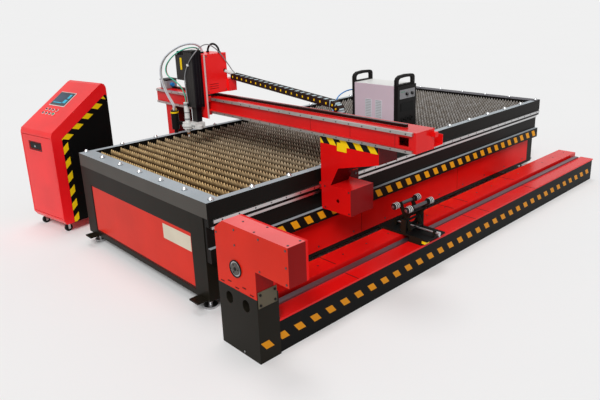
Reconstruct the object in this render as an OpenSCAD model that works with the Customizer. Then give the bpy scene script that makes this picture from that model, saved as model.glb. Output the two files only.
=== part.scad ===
// CNC plasma cutting table: slatted bed, gantry with a lifting torch, rotary tube unit,
// power source on the bed and a control cabinet on casters.
// X runs across the bed, Y along it and Z up; the origin is on the floor under the bed's centre.

/* [Bed] */
// Outside width of the rim
table_w = 1700; // [1500:10:2000]
// Outside length of the rim
table_l = 3980; // [3600:10:4600]
// Height of the rim's top above the floor
rim_top = 710; // [690:1:760]
// Height of the rim bars
rim_h = 97; // [80:1:120]
// Width of the rim bars on the long sides
rim_side = 50; // [45:1:60]
// Width of the rim bars on the ends
rim_end = 110; // [90:1:140]
// Height of the levelling feet
foot_h = 72; // [50:1:90]
// Width of the corner posts
post_w = 140; // [110:1:160]
// Depth of the corner posts and width of the base beams
beam_w = 100; // [80:1:120]
// Thickness of the red sheet panels
panel_t = 4; // [2:0.5:6]
// Wall of the slag tray
tray_wall = 5; // [3:1:8]
// Depth of the slag tray
tray_depth = 128; // [110:1:150]
// Radius of the anchor holes
anchor_r = 7; // [5:0.5:10]

/* [Slats] */
// Distance from slat to slat
slat_pitch = 80; // [60:5:150]
// Thickness of a slat
slat_t = 6; // [4:0.5:10]
// Height of a slat
slat_h = 100; // [90:1:110]
// Drop of the slat tips below the rim's top
slat_drop = 10; // [5:1:20]
// Distance from tooth to tooth
tooth_pitch = 30; // [24:1:80]
// Depth of the teeth
tooth_depth = 25; // [10:1:30]

/* [Long rails] */
// Depth of the channel in the rail beams
channel_d = 28; // [24:1:32]
// Width of the guide rails
rail_w = 20; // [16:1:25]
// Height of the guide rails off the beam
rail_out = 18; // [14:1:22]
// Radius of the gantry pinions
pinion_r = 29.5; // [24:0.5:34]
// Running clearance of shafts in their bores
fit = 0.05; // [0.02:0.01:0.1]
// Clearance of sliding blocks on their rails
slide_gap = 0.4; // [0.3:0.1:1]

/* [Gantry] */
// Place of the beam's front face along the bed
gantry_y = -1111; // [-1300:1:-900]
// Underside of the beam above the floor
beam_z = 942; // [900:1:1000]
// Height of the beam
beam_h = 120; // [100:1:150]
// Depth of the beam
beam_d = 170; // [150:1:200]
// Overhang of the beam past the rim on the cabinet side
beam_left = 290; // [240:1:320]
// Overhang of the beam past the rim on the rotary side
beam_right = 777; // [700:1:850]
// Wall of the beam and the columns
beam_wall = 8; // [5:1:12]
// Length of the gantry's foot plates
foot_plate_l = 348; // [300:1:400]
// Width of the motor box on the rotary side
motor_box_w = 241; // [200:1:245]
// Depth of the motor boxes
motor_box_d = 219; // [180:1:260]

/* [Carriage] */
// Place of the carriage's centre across the bed
carriage_x = -410; // [-450:1:0]
// Width of the carriage plate
carriage_w = 220; // [200:1:260]
// Thickness of the carriage plate
plate_t = 15; // [10:1:20]
// Top of the carriage cover
cover_top = 1393; // [1300:1:1450]
// Wall of the sheet covers
sheet_t = 3; // [2:0.5:5]
// Width of the torch lifter
lifter_w = 117; // [100:1:130]
// Depth of the torch lifter
lifter_d = 82; // [75:1:90]
// Underside of the torch lifter
lifter_z = 997; // [970:1:1020]
// Top of the torch lifter
lifter_top = 1426; // [1400:1:1450]
// Radius of the torch barrel
torch_r = 20; // [15:1:25]
// Height of the torch tip above the floor
torch_tip = 764; // [755:1:780]
// Width of the drag chain
chain_w = 60; // [50:1:66]
// Height of the drag chain
chain_h = 42; // [36:1:46]
// Bend radius of the drag chain
chain_r = 64; // [58:1:70]

/* [Rotary unit] */
// Clear distance from the rim to the rotary bed
rotary_gap = 240; // [220:5:300]
// Width of the rotary bed
rotary_w = 315; // [300:1:340]
// Height of the rotary bed
rotary_h = 190; // [160:1:220]
// Wall of the rotary bed
rotary_wall = 10; // [6:1:14]
// Height of the raised cover on the rotary bed
cover_h = 45; // [30:1:60]
// Height of the spindle axis above the floor
spindle_z = 490; // [470:1:510]
// Radius of the chuck
chuck_r = 110; // [100:1:115]
// Radius of the chuck's bore
chuck_bore = 48; // [40:1:55]
// Radius of the spindle journal
journal_r = 45; // [42:1:48]
// Place of the roller support along the bed
support_y = -626; // [-800:1:0]
// Radius of the support rollers
roller_r = 22; // [18:1:26]

/* [Power source] */
// Place of its centre across the bed
source_x = 335; // [200:1:450]
// Place of its near side along the bed
source_y = 60; // [40:1:200]
// Length of the case between the end frames
source_l = 425; // [380:1:460]
// Width of the power source
source_w = 240; // [220:1:280]
// Height of the case
source_h = 367; // [330:1:400]
// Height of the handles above the case
handle_h = 88; // [76:1:100]

/* [Cabinet] */
// Width of the cabinet
cab_w = 465; // [420:1:520]
// Depth of the cabinet
cab_d = 544; // [480:1:560]
// Height of the front's top edge
cab_front = 831; // [760:1:850]
// Height of the cabinet's top
cab_top = 1162; // [1100:1:1180]
// Underside of the cabinet
cab_z = 77; // [70:1:100]
// Turn of the cabinet towards the bed
cab_turn = 9; // [0:0.5:15]
// Radius of the caster wheels
caster_r = 30; // [25:1:32]
// Radius of the push buttons
button_r = 10; // [7:0.5:12]

/* [Part] */
// Sub-part to show

/* [Hidden] */

red = [0.78, 0.05, 0.05];
black = [0.06, 0.06, 0.07];
dark = [0.18, 0.18, 0.19];
steel = [0.62, 0.63, 0.65];
rust = [0.42, 0.3, 0.16];
white = [0.88, 0.88, 0.86];
lilac = [0.7, 0.66, 0.7];
blue = [0.1, 0.35, 0.7];
green = [0.1, 0.5, 0.2];
eps = 1;
seam_gap = 0.3;
$fn = 48;

half_w = table_w / 2;
half_l = table_l / 2;
leg_x = half_w - rim_side;
rim_bot = rim_top - rim_h;
bed_y = half_l - rim_end;
post_y = half_l - beam_w;

// Frame heights
top_rail_h = 127;
bottom_rail_h = 39;
cross_h = 60;
cross_w = 80;
tray_z = rim_bot - tray_depth;
cross_z = tray_z - cross_h;
row_pitch = 640;
rows = [for (i = [-2:2]) i * row_pitch];
base_top = foot_h + beam_w;
panel_z = foot_h + 30;
tab_l = 70;
tab_w = 90;
tab_t = 10;
tab_x = leg_x - post_w / 2;
tab_hole_y = half_l + tab_l - 28;
foot_pad_r = 45;
foot_pad_h = 14;
foot_stem_r = 12;

// Rail beams with an open channel on the outer side
lip_bot = rim_bot - 278;
lip_top = rim_bot - 188;
flange_bot = rim_bot - 53;
web_x = half_w - channel_d;
rail_z = rim_bot - 28;
rail_end = half_l - 30;
rack_h = 20;
rack_w = 20;
rack_z = flange_bot - rack_h;
pinion_z = rack_z - pinion_r - 0.5;
pinion_y = gantry_y + motor_box_d / 2;

// Slats and their combs
slat_top = rim_top - slat_drop;
slat_z = slat_top - slat_h;
comb_w = 20;
comb_x = leg_x - tray_wall;
comb_z = slat_z - 40;
comb_h = 80;
slat_half = comb_x - 3;
slat_n = floor((2 * bed_y - 60) / slat_pitch);
slat_ys = [for (i = [0:slat_n]) (i - slat_n / 2) * slat_pitch];
teeth_n = floor(2 * slat_half / tooth_pitch);
tooth_w = 2 * slat_half / teeth_n;

// Cap nuts along the rim
nut_r = 19;
nut_base = 8;
nut_in = 25;
nuts_end = 6;
nuts_side = 13;

// Gantry
foot_x = half_w + 30;
foot_plate_t = 15;
box_x = foot_x + foot_plate_t;
foot_z = rim_bot - 168;
foot_top = rim_bot + 27;
box_top = rim_bot + 7;
arm_x = half_w + 515;
arm_z = beam_z - 113;
knee_x = half_w + 184;
knee_z = beam_z - 195;
waist_x = half_w + 114;
left_box_w = 195;
left_col_w = 127;
block_l = 70;
block_h = 50;
motor_sq = 90;
motor_l = 165;
shaft_r = 10;
shaft_in = 25;
beam_x0 = -half_w - beam_left;
beam_x1 = half_w + beam_right;
beam_top = beam_z + beam_h;
beam_back = gantry_y + beam_d;
x_rail_in = 18;
x_rack_y = gantry_y + 75;
x_rack_h = 18;
trough_x0 = -500;
trough_d = 86;
trough_z = beam_z + 8;
trough_h = 60;
window_x = beam_x1 - 120;

// Carriage and torch
plate_y = gantry_y - rail_out - 19;
plate_x0 = carriage_x - carriage_w / 2;
plate_x1 = carriage_x + carriage_w / 2;
plate_z = beam_z - 37;
cover_x1 = plate_x1 - 7;
cover_z = beam_top + 29;
cover_y1 = beam_back - 6;
x_block_h = 44;
x_pinion_r = 24.5;
x_pinion_z = beam_top + x_rack_h + x_pinion_r + 0.5;
x_motor = 56;
x_shaft_r = 8;
lifter_x0 = carriage_x - 35;
lifter_x1 = lifter_x0 + lifter_w;
lifter_front = plate_y - plate_t - lifter_d;
lifter_mid = (lifter_x0 + lifter_x1) / 2;
lifter_wall = 16;
slide_w = 64;
slide_d = 46;
slide_z = 880;
slide_top = 1235;
slide_y = lifter_front + lifter_wall + 2;
torch_x = lifter_mid - 40;
torch_y = lifter_front - 24;
clamp_z = 832;
clamp_h = 50;
clamp_x = lifter_mid + 66;
clamp_boss = 26;
torch_top = 1036;
aux_x = torch_x - 186;
aux_r = 30;
aux_z = 800;
aux_top = 952;
height_box_w = 142;
height_box_z = 1195;
height_box_h = 195;

// Drag chain
chain_y = beam_back + trough_d / 2;
chain_x0 = plate_x1 + 8;
chain_x1 = chain_x0 + 1085;
chain_top = 1206;
chain_low = trough_z + sheet_t + chain_h / 2 + 0.5;
chain_drop = chain_top - (chain_low + 2 * chain_r);
chain_tilt = atan2(chain_drop, chain_x1 - chain_x0);
chain_run = norm([chain_x1 - chain_x0, chain_drop]);
link_pitch = 40;
link_l = 33;
link_in = 3;
low_run = 1090;
bend_end = 85;
link_n = floor(chain_run / link_pitch);
seat_l = 56;
seat_z = chain_top - chain_h / 2 - 8;
bracket_top = seat_z + 14;
bracket_l = 75;
bracket_past = 25;

// Rotary unit
bed_x0 = half_w + rotary_gap;
bed_x1 = bed_x0 + rotary_w;
bed_y0 = -half_l + 23;
bed_y1 = half_l;
head_y0 = bed_y0 - 140;
block_x1 = bed_x1 + 10;
block_top = spindle_z - 122;
raised_x0 = bed_x0 - 5;
raised_x1 = bed_x0 + 155;
raised_top = rotary_h + cover_h;
guide_x0 = raised_x1 + 17;
guide_x1 = guide_x0 + 38;
guide_top = rotary_h + 24;
deck_x1 = bed_x1 + 8;
deck_top = rotary_h + 12;
tie_h = 28;
spindle_x = bed_x0 + 167;
house_y1 = head_y0 + 126;
back_t = 15;
shell_y1 = house_y1 - back_t;
house_wall = 4;
house_x0 = bed_x0 + 2;
house_x2 = bed_x1 + 260;
house_z1 = spindle_z + 33;
house_z3 = spindle_z + 237;
house_cut = 71;
house_cut_z = 54;
hole_r = 28;
hole_run = 6;
motor_x = spindle_x + 283;
motor_z = spindle_z + 170;
motor_r = 55;
stud_at = motor_r - 10;
stud_r = 6;
pulley_y0 = shell_y1 - 34;
pulley_w = 24;
pulley_r = 50;
small_pulley_r = 20;
belt_t = 4;
belt_gap = 0.6;
motor_away = atan2(motor_z - spindle_z, motor_x - spindle_x);
motor_shaft_r = 8;
spindle_bore = 30;
spindle_nose = 40;
flange_r = 70;
chuck_y0 = house_y1 + 11;
chuck_l = 75;
chuck_y1 = chuck_y0 + chuck_l;
jaw_w = 24;
jaw_in = 26;
jaw_out = 45;
jaw_r0 = 54;
jaw_r1 = 104;
jaw_gap = 0.3;

// Roller support
plate_half = 102;
support_z = raised_top + 3;
support_t = 12;
support_x0 = bed_x0 - 50;
support_x1 = bed_x1 + 45;
pivot_z = support_z + 92;
pivot_r = 8;
roller_out = 53;
rest_gap = 0.5;
rest_r = jaw_r0 + roller_r + rest_gap;
roller_z = spindle_z - sqrt(rest_r * rest_r - roller_out * roller_out);
arm_up = [roller_out, roller_z - pivot_z];
arm_down = 0.55;
arm_half = 14;
arm_end = 8;
arm_t = 10;
arm_a_in = 74;
arm_b_in = 58;
post_in = 88;
post_t = 12;
roller_shaft = 6;
roller_len = 145;
disc_n = 3;
disc_t = 9;
disc_pitch = 16;
disc_hub = 15;
stack_l = disc_n * disc_pitch;
stack_mid = roller_len - stack_l / 2 - 5;
screw_z = pivot_z - arm_down * arm_up[1];
screw_r = 7;
screw_x0 = bed_x0 + 30;
screw_x1 = support_x1 - 15;
bar_r = 12;

// Power source
src_x0 = source_x - source_l / 2;
src_x1 = source_x + source_l / 2;
src_end = 25;
src_front = 40;
src_z = slat_top;
src_top = src_z + source_h;
grip_t = 24;
handle_leg = 30;
handle_sill = 12;
knob_r = 12;
knob_l = 15;
knob_shaft = 4;
knob_z = src_top - 70;
knob_ys = [source_y + 0.46 * source_w, source_y + 0.75 * source_w];

// Cabinet, in its own frame: x along the front, y to the back
cab_x = -half_w - 707;
cab_y = -half_l - 174;
cab_side = 10;
cab_wall = 17;
cab_face = 25;
cab_pocket = 5;
cab_band = 88;
side_top = cab_front - 50;
side_back = cab_d - 20;
side_drop = 110;
side_gap = 1;
slope_y0 = 12;
slope_z0 = cab_front + 11;
slope_y1 = cab_d - 60;
slope_z1 = cab_top - 10;
slope_a = atan2(slope_z1 - slope_z0, slope_y1 - slope_y0);
door_x0 = 14;
door_x1 = cab_w - 14;
door_z0 = cab_z + 50;
door_z1 = cab_front - 35;
door_gap = 4;
door_t = 18;
hinge_in = 14;
hinge_r = 4;
hinge_l = 8;
latch_x0 = 115;
latch_x1 = 290;
latch_z0 = cab_front - 150;
latch_z1 = cab_front - 92;
latch_d = 14;
latch_pin = 3;
screen_x = [78, 290];
screen_s = [282, 432];
screen_t = 5;
start_at = [252, 186];
stop_at = [254, 230];
button_h = 9;
button_in = 12;
caster_in = 60;
caster_w = 22;
axle_r = 5;

// Box between limits on each axis
module block(x, y, z)
  translate([x[0], y[0], z[0]])
    cube([x[1] - x[0], y[1] - y[0], z[1] - z[0]]);

// Cylinder along X between two values
module rod_x(x, y, z, r)
  translate([x[0], y, z])
    rotate([0, 90, 0])
      cylinder(r = r, h = x[1] - x[0]);

// Cylinder along Y between two values
module rod_y(x, y, z, r)
  translate([x, y[0], z])
    rotate([-90, 0, 0])
      cylinder(r = r, h = y[1] - y[0]);

// Outline in X and Z, extruded along Y
module prism_y(points, y)
  translate([0, y[1], 0])
    rotate([90, 0, 0])
      linear_extrude(height = y[1] - y[0])
        polygon(points);

// Outline in Y and Z, extruded along X
module prism_x(points, x)
  translate([x[0], 0, 0])
    rotate([90, 0, 90])
      linear_extrude(height = x[1] - x[0])
        polygon(points);

module both_sides() {
  children();
  mirror([1, 0, 0]) children();
}

module both_ends() {
  children();
  mirror([0, 1, 0]) children();
}

// Smooth route through chosen points, and a round tube along it
function between(a, b, c, d, t) =
  0.5 * (2 * b + (c - a) * t + (2 * a - 5 * b + 4 * c - d) * t * t + (3 * b - a - 3 * c + d) * t * t * t);
function clip(p, i) = p[max(0, min(len(p) - 1, i))];
function route(p, n) = concat(
  [for (i = [0:len(p) - 2]) for (k = [0:n - 1])
    between(clip(p, i - 1), p[i], p[i + 1], clip(p, i + 2), k / n)],
  [p[len(p) - 1]]);
function unit(v) = v / norm(v);
function heading(p, i) = unit(clip(p, i + 1) - clip(p, i - 1));
function turn_to(n, t) = unit(n - t * (n * t));
function normals(p, i, n) =
  i == len(p) ? [] : let (m = turn_to(n, heading(p, i))) concat([m], normals(p, i + 1, m));

module tube(points, r, side, shift = 0, sides = 10) {
  mid = route(points, 5);
  ns = normals(mid, 0, side);
  p = [for (i = [0:len(mid) - 1]) mid[i] + shift * ns[i]];
  rings = [for (i = [0:len(p) - 1]) for (k = [0:sides - 1])
    let (b = cross(heading(mid, i), ns[i]), a = 360 * k / sides)
      p[i] + r * (cos(a) * ns[i] + sin(a) * b)];
  walls = [for (i = [0:len(p) - 2]) for (k = [0:sides - 1])
    let (a = i * sides + k, b = i * sides + (k + 1) % sides)
      each [[a, a + sides, b], [b, a + sides, b + sides]]];
  start = [[for (k = [0:sides - 1]) k]];
  last = (len(p) - 1) * sides;
  end = [[for (k = [sides - 1:-1:0]) last + k]];
  polyhedron(points = rings, faces = concat(walls, start, end));
}

// Bed

module levelling_feet() {
  near = [-half_w + post_w / 2, leg_x - post_w / 2];
  far = [-leg_x + post_w / 2, leg_x - post_w / 2];
  end_y = half_l - beam_w / 2;
  side = leg_x - beam_w / 2;
  spots = concat([for (x = near) [x, -end_y]], [for (x = far) [x, end_y]],
    [[-side, 0], [side, 0], [0, 0]]);
  color(steel)
    for (s = spots)
      translate([s[0], s[1], 0]) {
        cylinder(r = foot_pad_r, h = foot_pad_h);
        cylinder(r = foot_stem_r, h = foot_h);
      }
}

module end_frame(x0, x1) {
  block([x0, x0 + post_w], [post_y, half_l], [foot_h, rim_bot]);
  block([x1 - post_w, x1], [post_y, half_l], [foot_h, rim_bot]);
  between_posts = [x0 + post_w + seam_gap, x1 - post_w - seam_gap];
  block(between_posts, [post_y, half_l], [rim_bot - top_rail_h, rim_bot]);
  block(between_posts, [post_y, half_l], [foot_h, foot_h + bottom_rail_h]);
}

module anchor_tab(x)
  difference() {
    block([x - tab_w / 2, x + tab_w / 2], [half_l + seam_gap, half_l + tab_l], [foot_h, foot_h + tab_t]);
    translate([x, tab_hole_y, foot_h - eps])
      cylinder(r = anchor_r, h = tab_t + 2 * eps);
  }

module table_frame() {
  base_y = [seam_gap - post_y, post_y - seam_gap];
  stub_z = [base_top + seam_gap, cross_z - seam_gap];
  color(dark) {
    end_frame(-leg_x, leg_x);
    mirror([0, 1, 0]) end_frame(-half_w, leg_x);
    both_ends()
      both_sides()
        anchor_tab(tab_x);
    both_sides()
      block([leg_x - beam_w, leg_x], base_y, [foot_h, base_top]);
    block([-beam_w / 2, beam_w / 2], base_y, [foot_h, base_top]);
    for (y = rows) {
      block([-leg_x, leg_x], [y - cross_w / 2, y + cross_w / 2], [cross_z, tray_z]);
      both_sides()
        block([leg_x - beam_w, leg_x], [y - cross_w / 2, y + cross_w / 2], stub_z);
    }
    block([-beam_w / 2, beam_w / 2], [-cross_w / 2, cross_w / 2], stub_z);
  }
}

module end_panel(x0, x1)
  block([x0 + post_w, x1 - post_w], [half_l - 2 * panel_t, half_l - panel_t],
    [foot_h + bottom_rail_h, rim_bot - top_rail_h]);

module body_panels() {
  side_n = 3;
  seam = 6;
  step = 2 * post_y / side_n;
  color(red) {
    end_panel(-leg_x, leg_x);
    mirror([0, 1, 0]) end_panel(-half_w, leg_x);
    for (i = [0:side_n - 1])
      both_sides()
        block([leg_x, leg_x + panel_t],
          [-post_y + i * step + seam / 2, -post_y + (i + 1) * step - seam / 2], [panel_z, lip_bot]);
  }
}

module rail_beam(y0) {
  profile = [[leg_x, lip_bot], [half_w, lip_bot], [half_w, lip_top], [web_x, lip_top],
    [web_x, flange_bot], [half_w, flange_bot], [half_w, rim_bot], [leg_x, rim_bot]];
  prism_y(profile, [y0, half_l - 5]);
  block([leg_x, half_w], [-bed_y, bed_y], [rim_bot, rim_top]);
}

module rail_beams()
  color(black) {
    rail_beam(-half_l + 5);
    mirror([1, 0, 0]) rail_beam(-post_y);
  }

module rail_and_rack(y0) {
  block([half_w, half_w + rail_out], [y0, rail_end], [rail_z, rail_z + rail_w]);
  block([web_x, web_x + rack_w], [y0, rail_end], [rack_z, flange_bot]);
}

module rails_and_racks()
  color(steel) {
    rail_and_rack(-rail_end);
    mirror([1, 0, 0]) rail_and_rack(-post_y);
  }

module rim_ends()
  color(dark)
    both_ends()
      block([-half_w, half_w], [bed_y, half_l], [rim_bot, rim_top]);

module cap_nut() {
  cylinder(r = nut_r, h = nut_base);
  translate([0, 0, nut_base])
    cylinder(r1 = nut_r - 3, r2 = nut_r - 9, h = 10);
  translate([0, 0, nut_base + 10])
    cylinder(r1 = nut_r - 9, r2 = 3, h = 4);
}

module rim_cap_nuts() {
  nut_x = half_w - nut_in;
  nut_y = half_l - 2 * nut_in;
  color(steel) {
    for (i = [0:nuts_end])
      both_ends()
        translate([-nut_x + 2 * nut_x * i / nuts_end, nut_y, rim_top])
          cap_nut();
    for (i = [1:nuts_side - 1])
      both_sides()
        translate([nut_x, -nut_y + 2 * nut_y * i / nuts_side, rim_top])
          cap_nut();
  }
}

module slat_tray()
  color(dark) {
    difference() {
      block([-leg_x, leg_x], [-post_y, post_y], [tray_z, rim_bot]);
      block([-comb_x, comb_x], [-post_y + tray_wall, post_y - tray_wall],
        [tray_z + tray_wall, rim_bot + eps]);
    }
    both_sides()
      difference() {
        block([comb_x - comb_w, comb_x], [-bed_y + 10, bed_y - 10], [comb_z, comb_z + comb_h]);
        for (y = slat_ys)
          block([comb_x - comb_w - eps, comb_x + eps], [y - slat_t / 2 - 0.5, y + slat_t / 2 + 0.5],
            [slat_z, comb_z + comb_h + eps]);
      }
  }

module slats() {
  tips = [for (i = [0:teeth_n - 1]) each
    [[-slat_half + i * tooth_w, slat_top - tooth_depth], [-slat_half + (i + 0.5) * tooth_w, slat_top]]];
  outline = concat([[slat_half, slat_top - tooth_depth], [slat_half, slat_z], [-slat_half, slat_z]], tips);
  color(rust)
    for (y = slat_ys)
      prism_y(outline, [y - slat_t / 2, y + slat_t / 2]);
}

// Rotary unit

// Welded plates, open underneath, and the ties to the bed
module rotary_bed() {
  side_z = [0, rotary_h - rotary_wall - seam_gap];
  end_x = [bed_x0 + rotary_wall + seam_gap, bed_x1 - rotary_wall - seam_gap];
  color(black) {
    block([bed_x0, bed_x1], [bed_y0, bed_y1], [rotary_h - rotary_wall, rotary_h]);
    for (x = [bed_x0, bed_x1 - rotary_wall])
      block([x, x + rotary_wall], [bed_y0, bed_y1], side_z);
    for (y = [bed_y0, bed_y1 - rotary_wall])
      block(end_x, [y, y + rotary_wall], side_z);
    for (i = [-1:1])
      block([leg_x, bed_x0 - seam_gap], [i * 2 * row_pitch - cross_w / 2, i * 2 * row_pitch + cross_w / 2],
        [foot_h, foot_h + tie_h]);
  }
}

module rotary_covers()
  color(red) {
    difference() {
      block([raised_x0, raised_x1], [bed_y0, bed_y1 - 5], [rotary_h, raised_top]);
      block([raised_x0 + house_wall, raised_x1 - house_wall],
        [bed_y0 + house_wall, bed_y1 - 5 - house_wall], [rotary_h - eps, raised_top - house_wall]);
    }
    block([guide_x1, deck_x1], [bed_y0, bed_y1 - 5], [rotary_h, deck_top]);
  }

module rotary_guide()
  color(steel)
    block([guide_x0, guide_x1], [bed_y0, bed_y1 - 70], [rotary_h, guide_top]);

// Upright lifting hole through the block
module lifting_hole(x, z) {
  y = [head_y0 - eps, bed_y0 + eps];
  for (s = [-1, 1])
    rod_y(x, y, z + s * hole_run, hole_r);
  block([x - hole_r, x + hole_r], y, [z - hole_run, z + hole_run]);
}

function house_outline(w) = [[house_x0 + w, block_top + w], [block_x1 - w, block_top + w],
  [block_x1 - w, house_z1 + w], [house_x2 - w, house_z1 + w], [house_x2 - w, house_z3 - w],
  [house_x0 + house_cut + w / 2, house_z3 - w], [house_x0 + w, house_z3 - house_cut_z - w / 2]];

// Block with the bearing plate that stands on it
module headstock_block()
  color(black)
    difference() {
      union() {
        block([bed_x0, block_x1], [head_y0, bed_y0], [0, block_top]);
        prism_y(house_outline(0), [shell_y1, house_y1]);
      }
      lifting_hole(bed_x0 + 92, block_top - 67);
      lifting_hole(bed_x0 + 232, block_top - 67);
      rod_y(spindle_x, [shell_y1 - eps, house_y1 + eps], spindle_z, journal_r + fit);
    }

module headstock_housing()
  color(red)
    difference() {
      prism_y(house_outline(0), [head_y0, shell_y1]);
      prism_y(house_outline(house_wall), [head_y0 + house_wall, shell_y1 + eps]);
      rod_y(spindle_x, [head_y0 - eps, head_y0 + 2 * house_wall], spindle_z, spindle_nose + 3);
    }

module rotary_motor() {
  body_y1 = pulley_y0 - 6;
  color(dark)
    difference() {
      union() {
        rod_y(motor_x, [head_y0 + 2 * house_wall, body_y1], motor_z, motor_r);
        for (a = [-75, 0, 75])
          rod_y(motor_x + stud_at * cos(motor_away + a), [body_y1 - eps, shell_y1],
            motor_z + stud_at * sin(motor_away + a), stud_r);
      }
      rod_y(motor_x, [body_y1 - 20, body_y1 + eps], motor_z, motor_shaft_r + fit);
    }
}

module belt_loop(grow, y) {
  translate([0, y[1], 0])
    rotate([90, 0, 0])
      linear_extrude(height = y[1] - y[0])
        hull() {
          translate([spindle_x, spindle_z]) circle(r = pulley_r + grow, $fn = 64);
          translate([motor_x, motor_z]) circle(r = small_pulley_r + grow, $fn = 64);
        }
}

module drive_belt()
  color(black)
    difference() {
      belt_loop(belt_gap + belt_t, [pulley_y0 + 3, pulley_y0 + pulley_w - 3]);
      belt_loop(belt_gap, [pulley_y0, pulley_y0 + pulley_w]);
    }

module spindle()
  color(steel)
    difference() {
      union() {
        rod_y(spindle_x, [head_y0 - 4, pulley_y0], spindle_z, spindle_nose);
        rod_y(spindle_x, [pulley_y0, pulley_y0 + pulley_w], spindle_z, pulley_r);
        rod_y(spindle_x, [pulley_y0, chuck_y0], spindle_z, journal_r);
        rod_y(spindle_x, [house_y1 + 1, chuck_y0], spindle_z, flange_r);
      }
      rod_y(spindle_x, [head_y0 + 6, chuck_y0 + eps], spindle_z, spindle_bore);
    }

module chuck_body()
  color(dark)
    difference() {
      rod_y(spindle_x, [chuck_y0, chuck_y1], spindle_z, chuck_r);
      rod_y(spindle_x, [chuck_y0 - eps, chuck_y1 + eps], spindle_z, chuck_bore);
      for (a = [90, 210, 330])
        translate([spindle_x, 0, spindle_z])
          rotate([0, -a, 0])
            block([chuck_bore - 10, chuck_r + eps], [chuck_y1 - jaw_in, chuck_y1 + eps],
              [-jaw_w / 2, jaw_w / 2]);
    }

module jaw(a)
  color(steel)
    translate([spindle_x, 0, spindle_z])
      rotate([0, -a, 0]) {
        block([jaw_r0, jaw_r1], [chuck_y1 - jaw_in, chuck_y1 + jaw_out / 2],
          [-jaw_w / 2 + jaw_gap, jaw_w / 2 - jaw_gap]);
        block([jaw_r0, jaw_r1 - 24], [chuck_y1 - jaw_in, chuck_y1 + jaw_out],
          [-jaw_w / 2 + jaw_gap, jaw_w / 2 - jaw_gap]);
      }

module jaw_1() jaw(90);
module jaw_2() jaw(210);
module jaw_3() jaw(330);

module motor_pulley()
  color(steel) {
    rod_y(motor_x, [pulley_y0, pulley_y0 + pulley_w], motor_z, small_pulley_r);
    rod_y(motor_x, [pulley_y0 - 25, pulley_y0 + pulley_w], motor_z, motor_shaft_r);
  }

// Limits along Y of an upright plate on one side of the support
function plate_at(s, inner, t) = [for (side = [-t / 2, t / 2]) support_y + s * (inner + t / 2) + side];

module roller_base() {
  y = [support_y - plate_half, support_y + plate_half];
  top = support_z + support_t;
  color(black) {
    difference() {
      union() {
        block([support_x0, support_x1], y, [support_z, top]);
        block([raised_x0, raised_x1 - 5], y, [raised_top, support_z + eps]);
        block([guide_x1 + 5, deck_x1 - 8], y, [deck_top, support_z + eps]);
        for (s = [-1, 1])
          block([spindle_x - 20, spindle_x + 20], plate_at(s, post_in, post_t), [top - eps, pivot_z + 16]);
        for (x = [screw_x0, screw_x1])
          block([x, x + 15], [support_y - 18, support_y + 18], [top - eps, screw_z + 20]);
      }
      rod_x([screw_x0 - eps, screw_x1 + 15 + eps], support_y, screw_z, screw_r + fit);
    }
    rod_y(spindle_x, [support_y - post_in - 2, support_y + post_in + 2], pivot_z, pivot_r);
  }
}

module lift_screw()
  color(steel) {
    rod_x([screw_x0 - 5, screw_x1 + 20], support_y, screw_z, screw_r);
    rod_x([screw_x1 + 17, screw_x1 + 40], support_y, screw_z, 2 * screw_r);
  }

module support_arm(side, inner) {
  top = [spindle_x + side * arm_up[0], pivot_z + arm_up[1]];
  low = [spindle_x - side * arm_down * arm_up[0], pivot_z - arm_down * arm_up[1]];
  length = norm(top - low);
  tie = [spindle_x + side * 0.6 * arm_up[0], pivot_z + 0.6 * arm_up[1]];
  through = [support_y - inner - 2 * arm_t, support_y + inner + 2 * arm_t];
  color(black)
    difference() {
      union() {
        for (s = [-1, 1])
          translate([low[0], plate_at(s, inner, arm_t)[0], low[1]])
            rotate([0, -atan2(top[1] - low[1], top[0] - low[0]), 0])
              block([-arm_end, length + arm_half - 1], [0, arm_t], [-arm_half, arm_half]);
        rod_y(low[0], [support_y - inner - 1, support_y + inner + 1], low[1], bar_r);
        rod_y(tie[0], [support_y - inner - 1, support_y + inner + 1], tie[1], bar_r - 3);
      }
      rod_y(spindle_x, through, pivot_z, pivot_r + fit);
      rod_y(top[0], through, top[1], roller_shaft + fit);
      block([low[0] - 2 * bar_r, low[0] + 2 * bar_r], [support_y - screw_r - 3, support_y + screw_r + 3],
        [low[1] - 2 * bar_r, low[1] + 2 * bar_r]);
    }
}

module arm_a() support_arm(1, arm_a_in);
module arm_b() support_arm(-1, arm_b_in);

module support_roller(side, inner) {
  x = spindle_x + side * roller_out;
  color(steel) {
    rod_y(x, [support_y - roller_len, support_y + roller_len], roller_z, roller_shaft);
    rod_y(x, [support_y - inner + 2, support_y + inner - 2], roller_z, 2 * roller_shaft);
    for (s = [-1, 1]) {
      stack_y = support_y + s * stack_mid;
      rod_y(x, [stack_y - stack_l / 2, stack_y + stack_l / 2], roller_z, disc_hub);
      for (i = [0:disc_n - 1]) {
        disc_y = stack_y + (i - (disc_n - 1) / 2) * disc_pitch;
        rod_y(x, [disc_y - disc_t / 2, disc_y + disc_t / 2], roller_z, roller_r);
      }
    }
  }
}

module roller_a() support_roller(1, arm_a_in);
module roller_b() support_roller(-1, arm_b_in);

// Power source

module psu_case()
  color(lilac)
    block([src_x0, src_x1], [source_y + 4, source_y + source_w - 4], [src_z, src_top]);

// Arched outline with a wide round at its near corner, across y0 to y1 and up from z0 to z1
function arch(y0, y1, z0, z1, r) = [[y0, z0], [y0, z1 - r], [y0 + 0.3 * r, z1 - 0.5 * r],
  [y0 + r, z1 - 0.15 * r], [(y0 + y1) / 2, z1], [y1 - 0.6 * r, z1 - 0.15 * r], [y1 - 0.15 * r, z1 - 0.4 * r],
  [y1, z1 - 0.8 * r], [y1, z0]];

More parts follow.
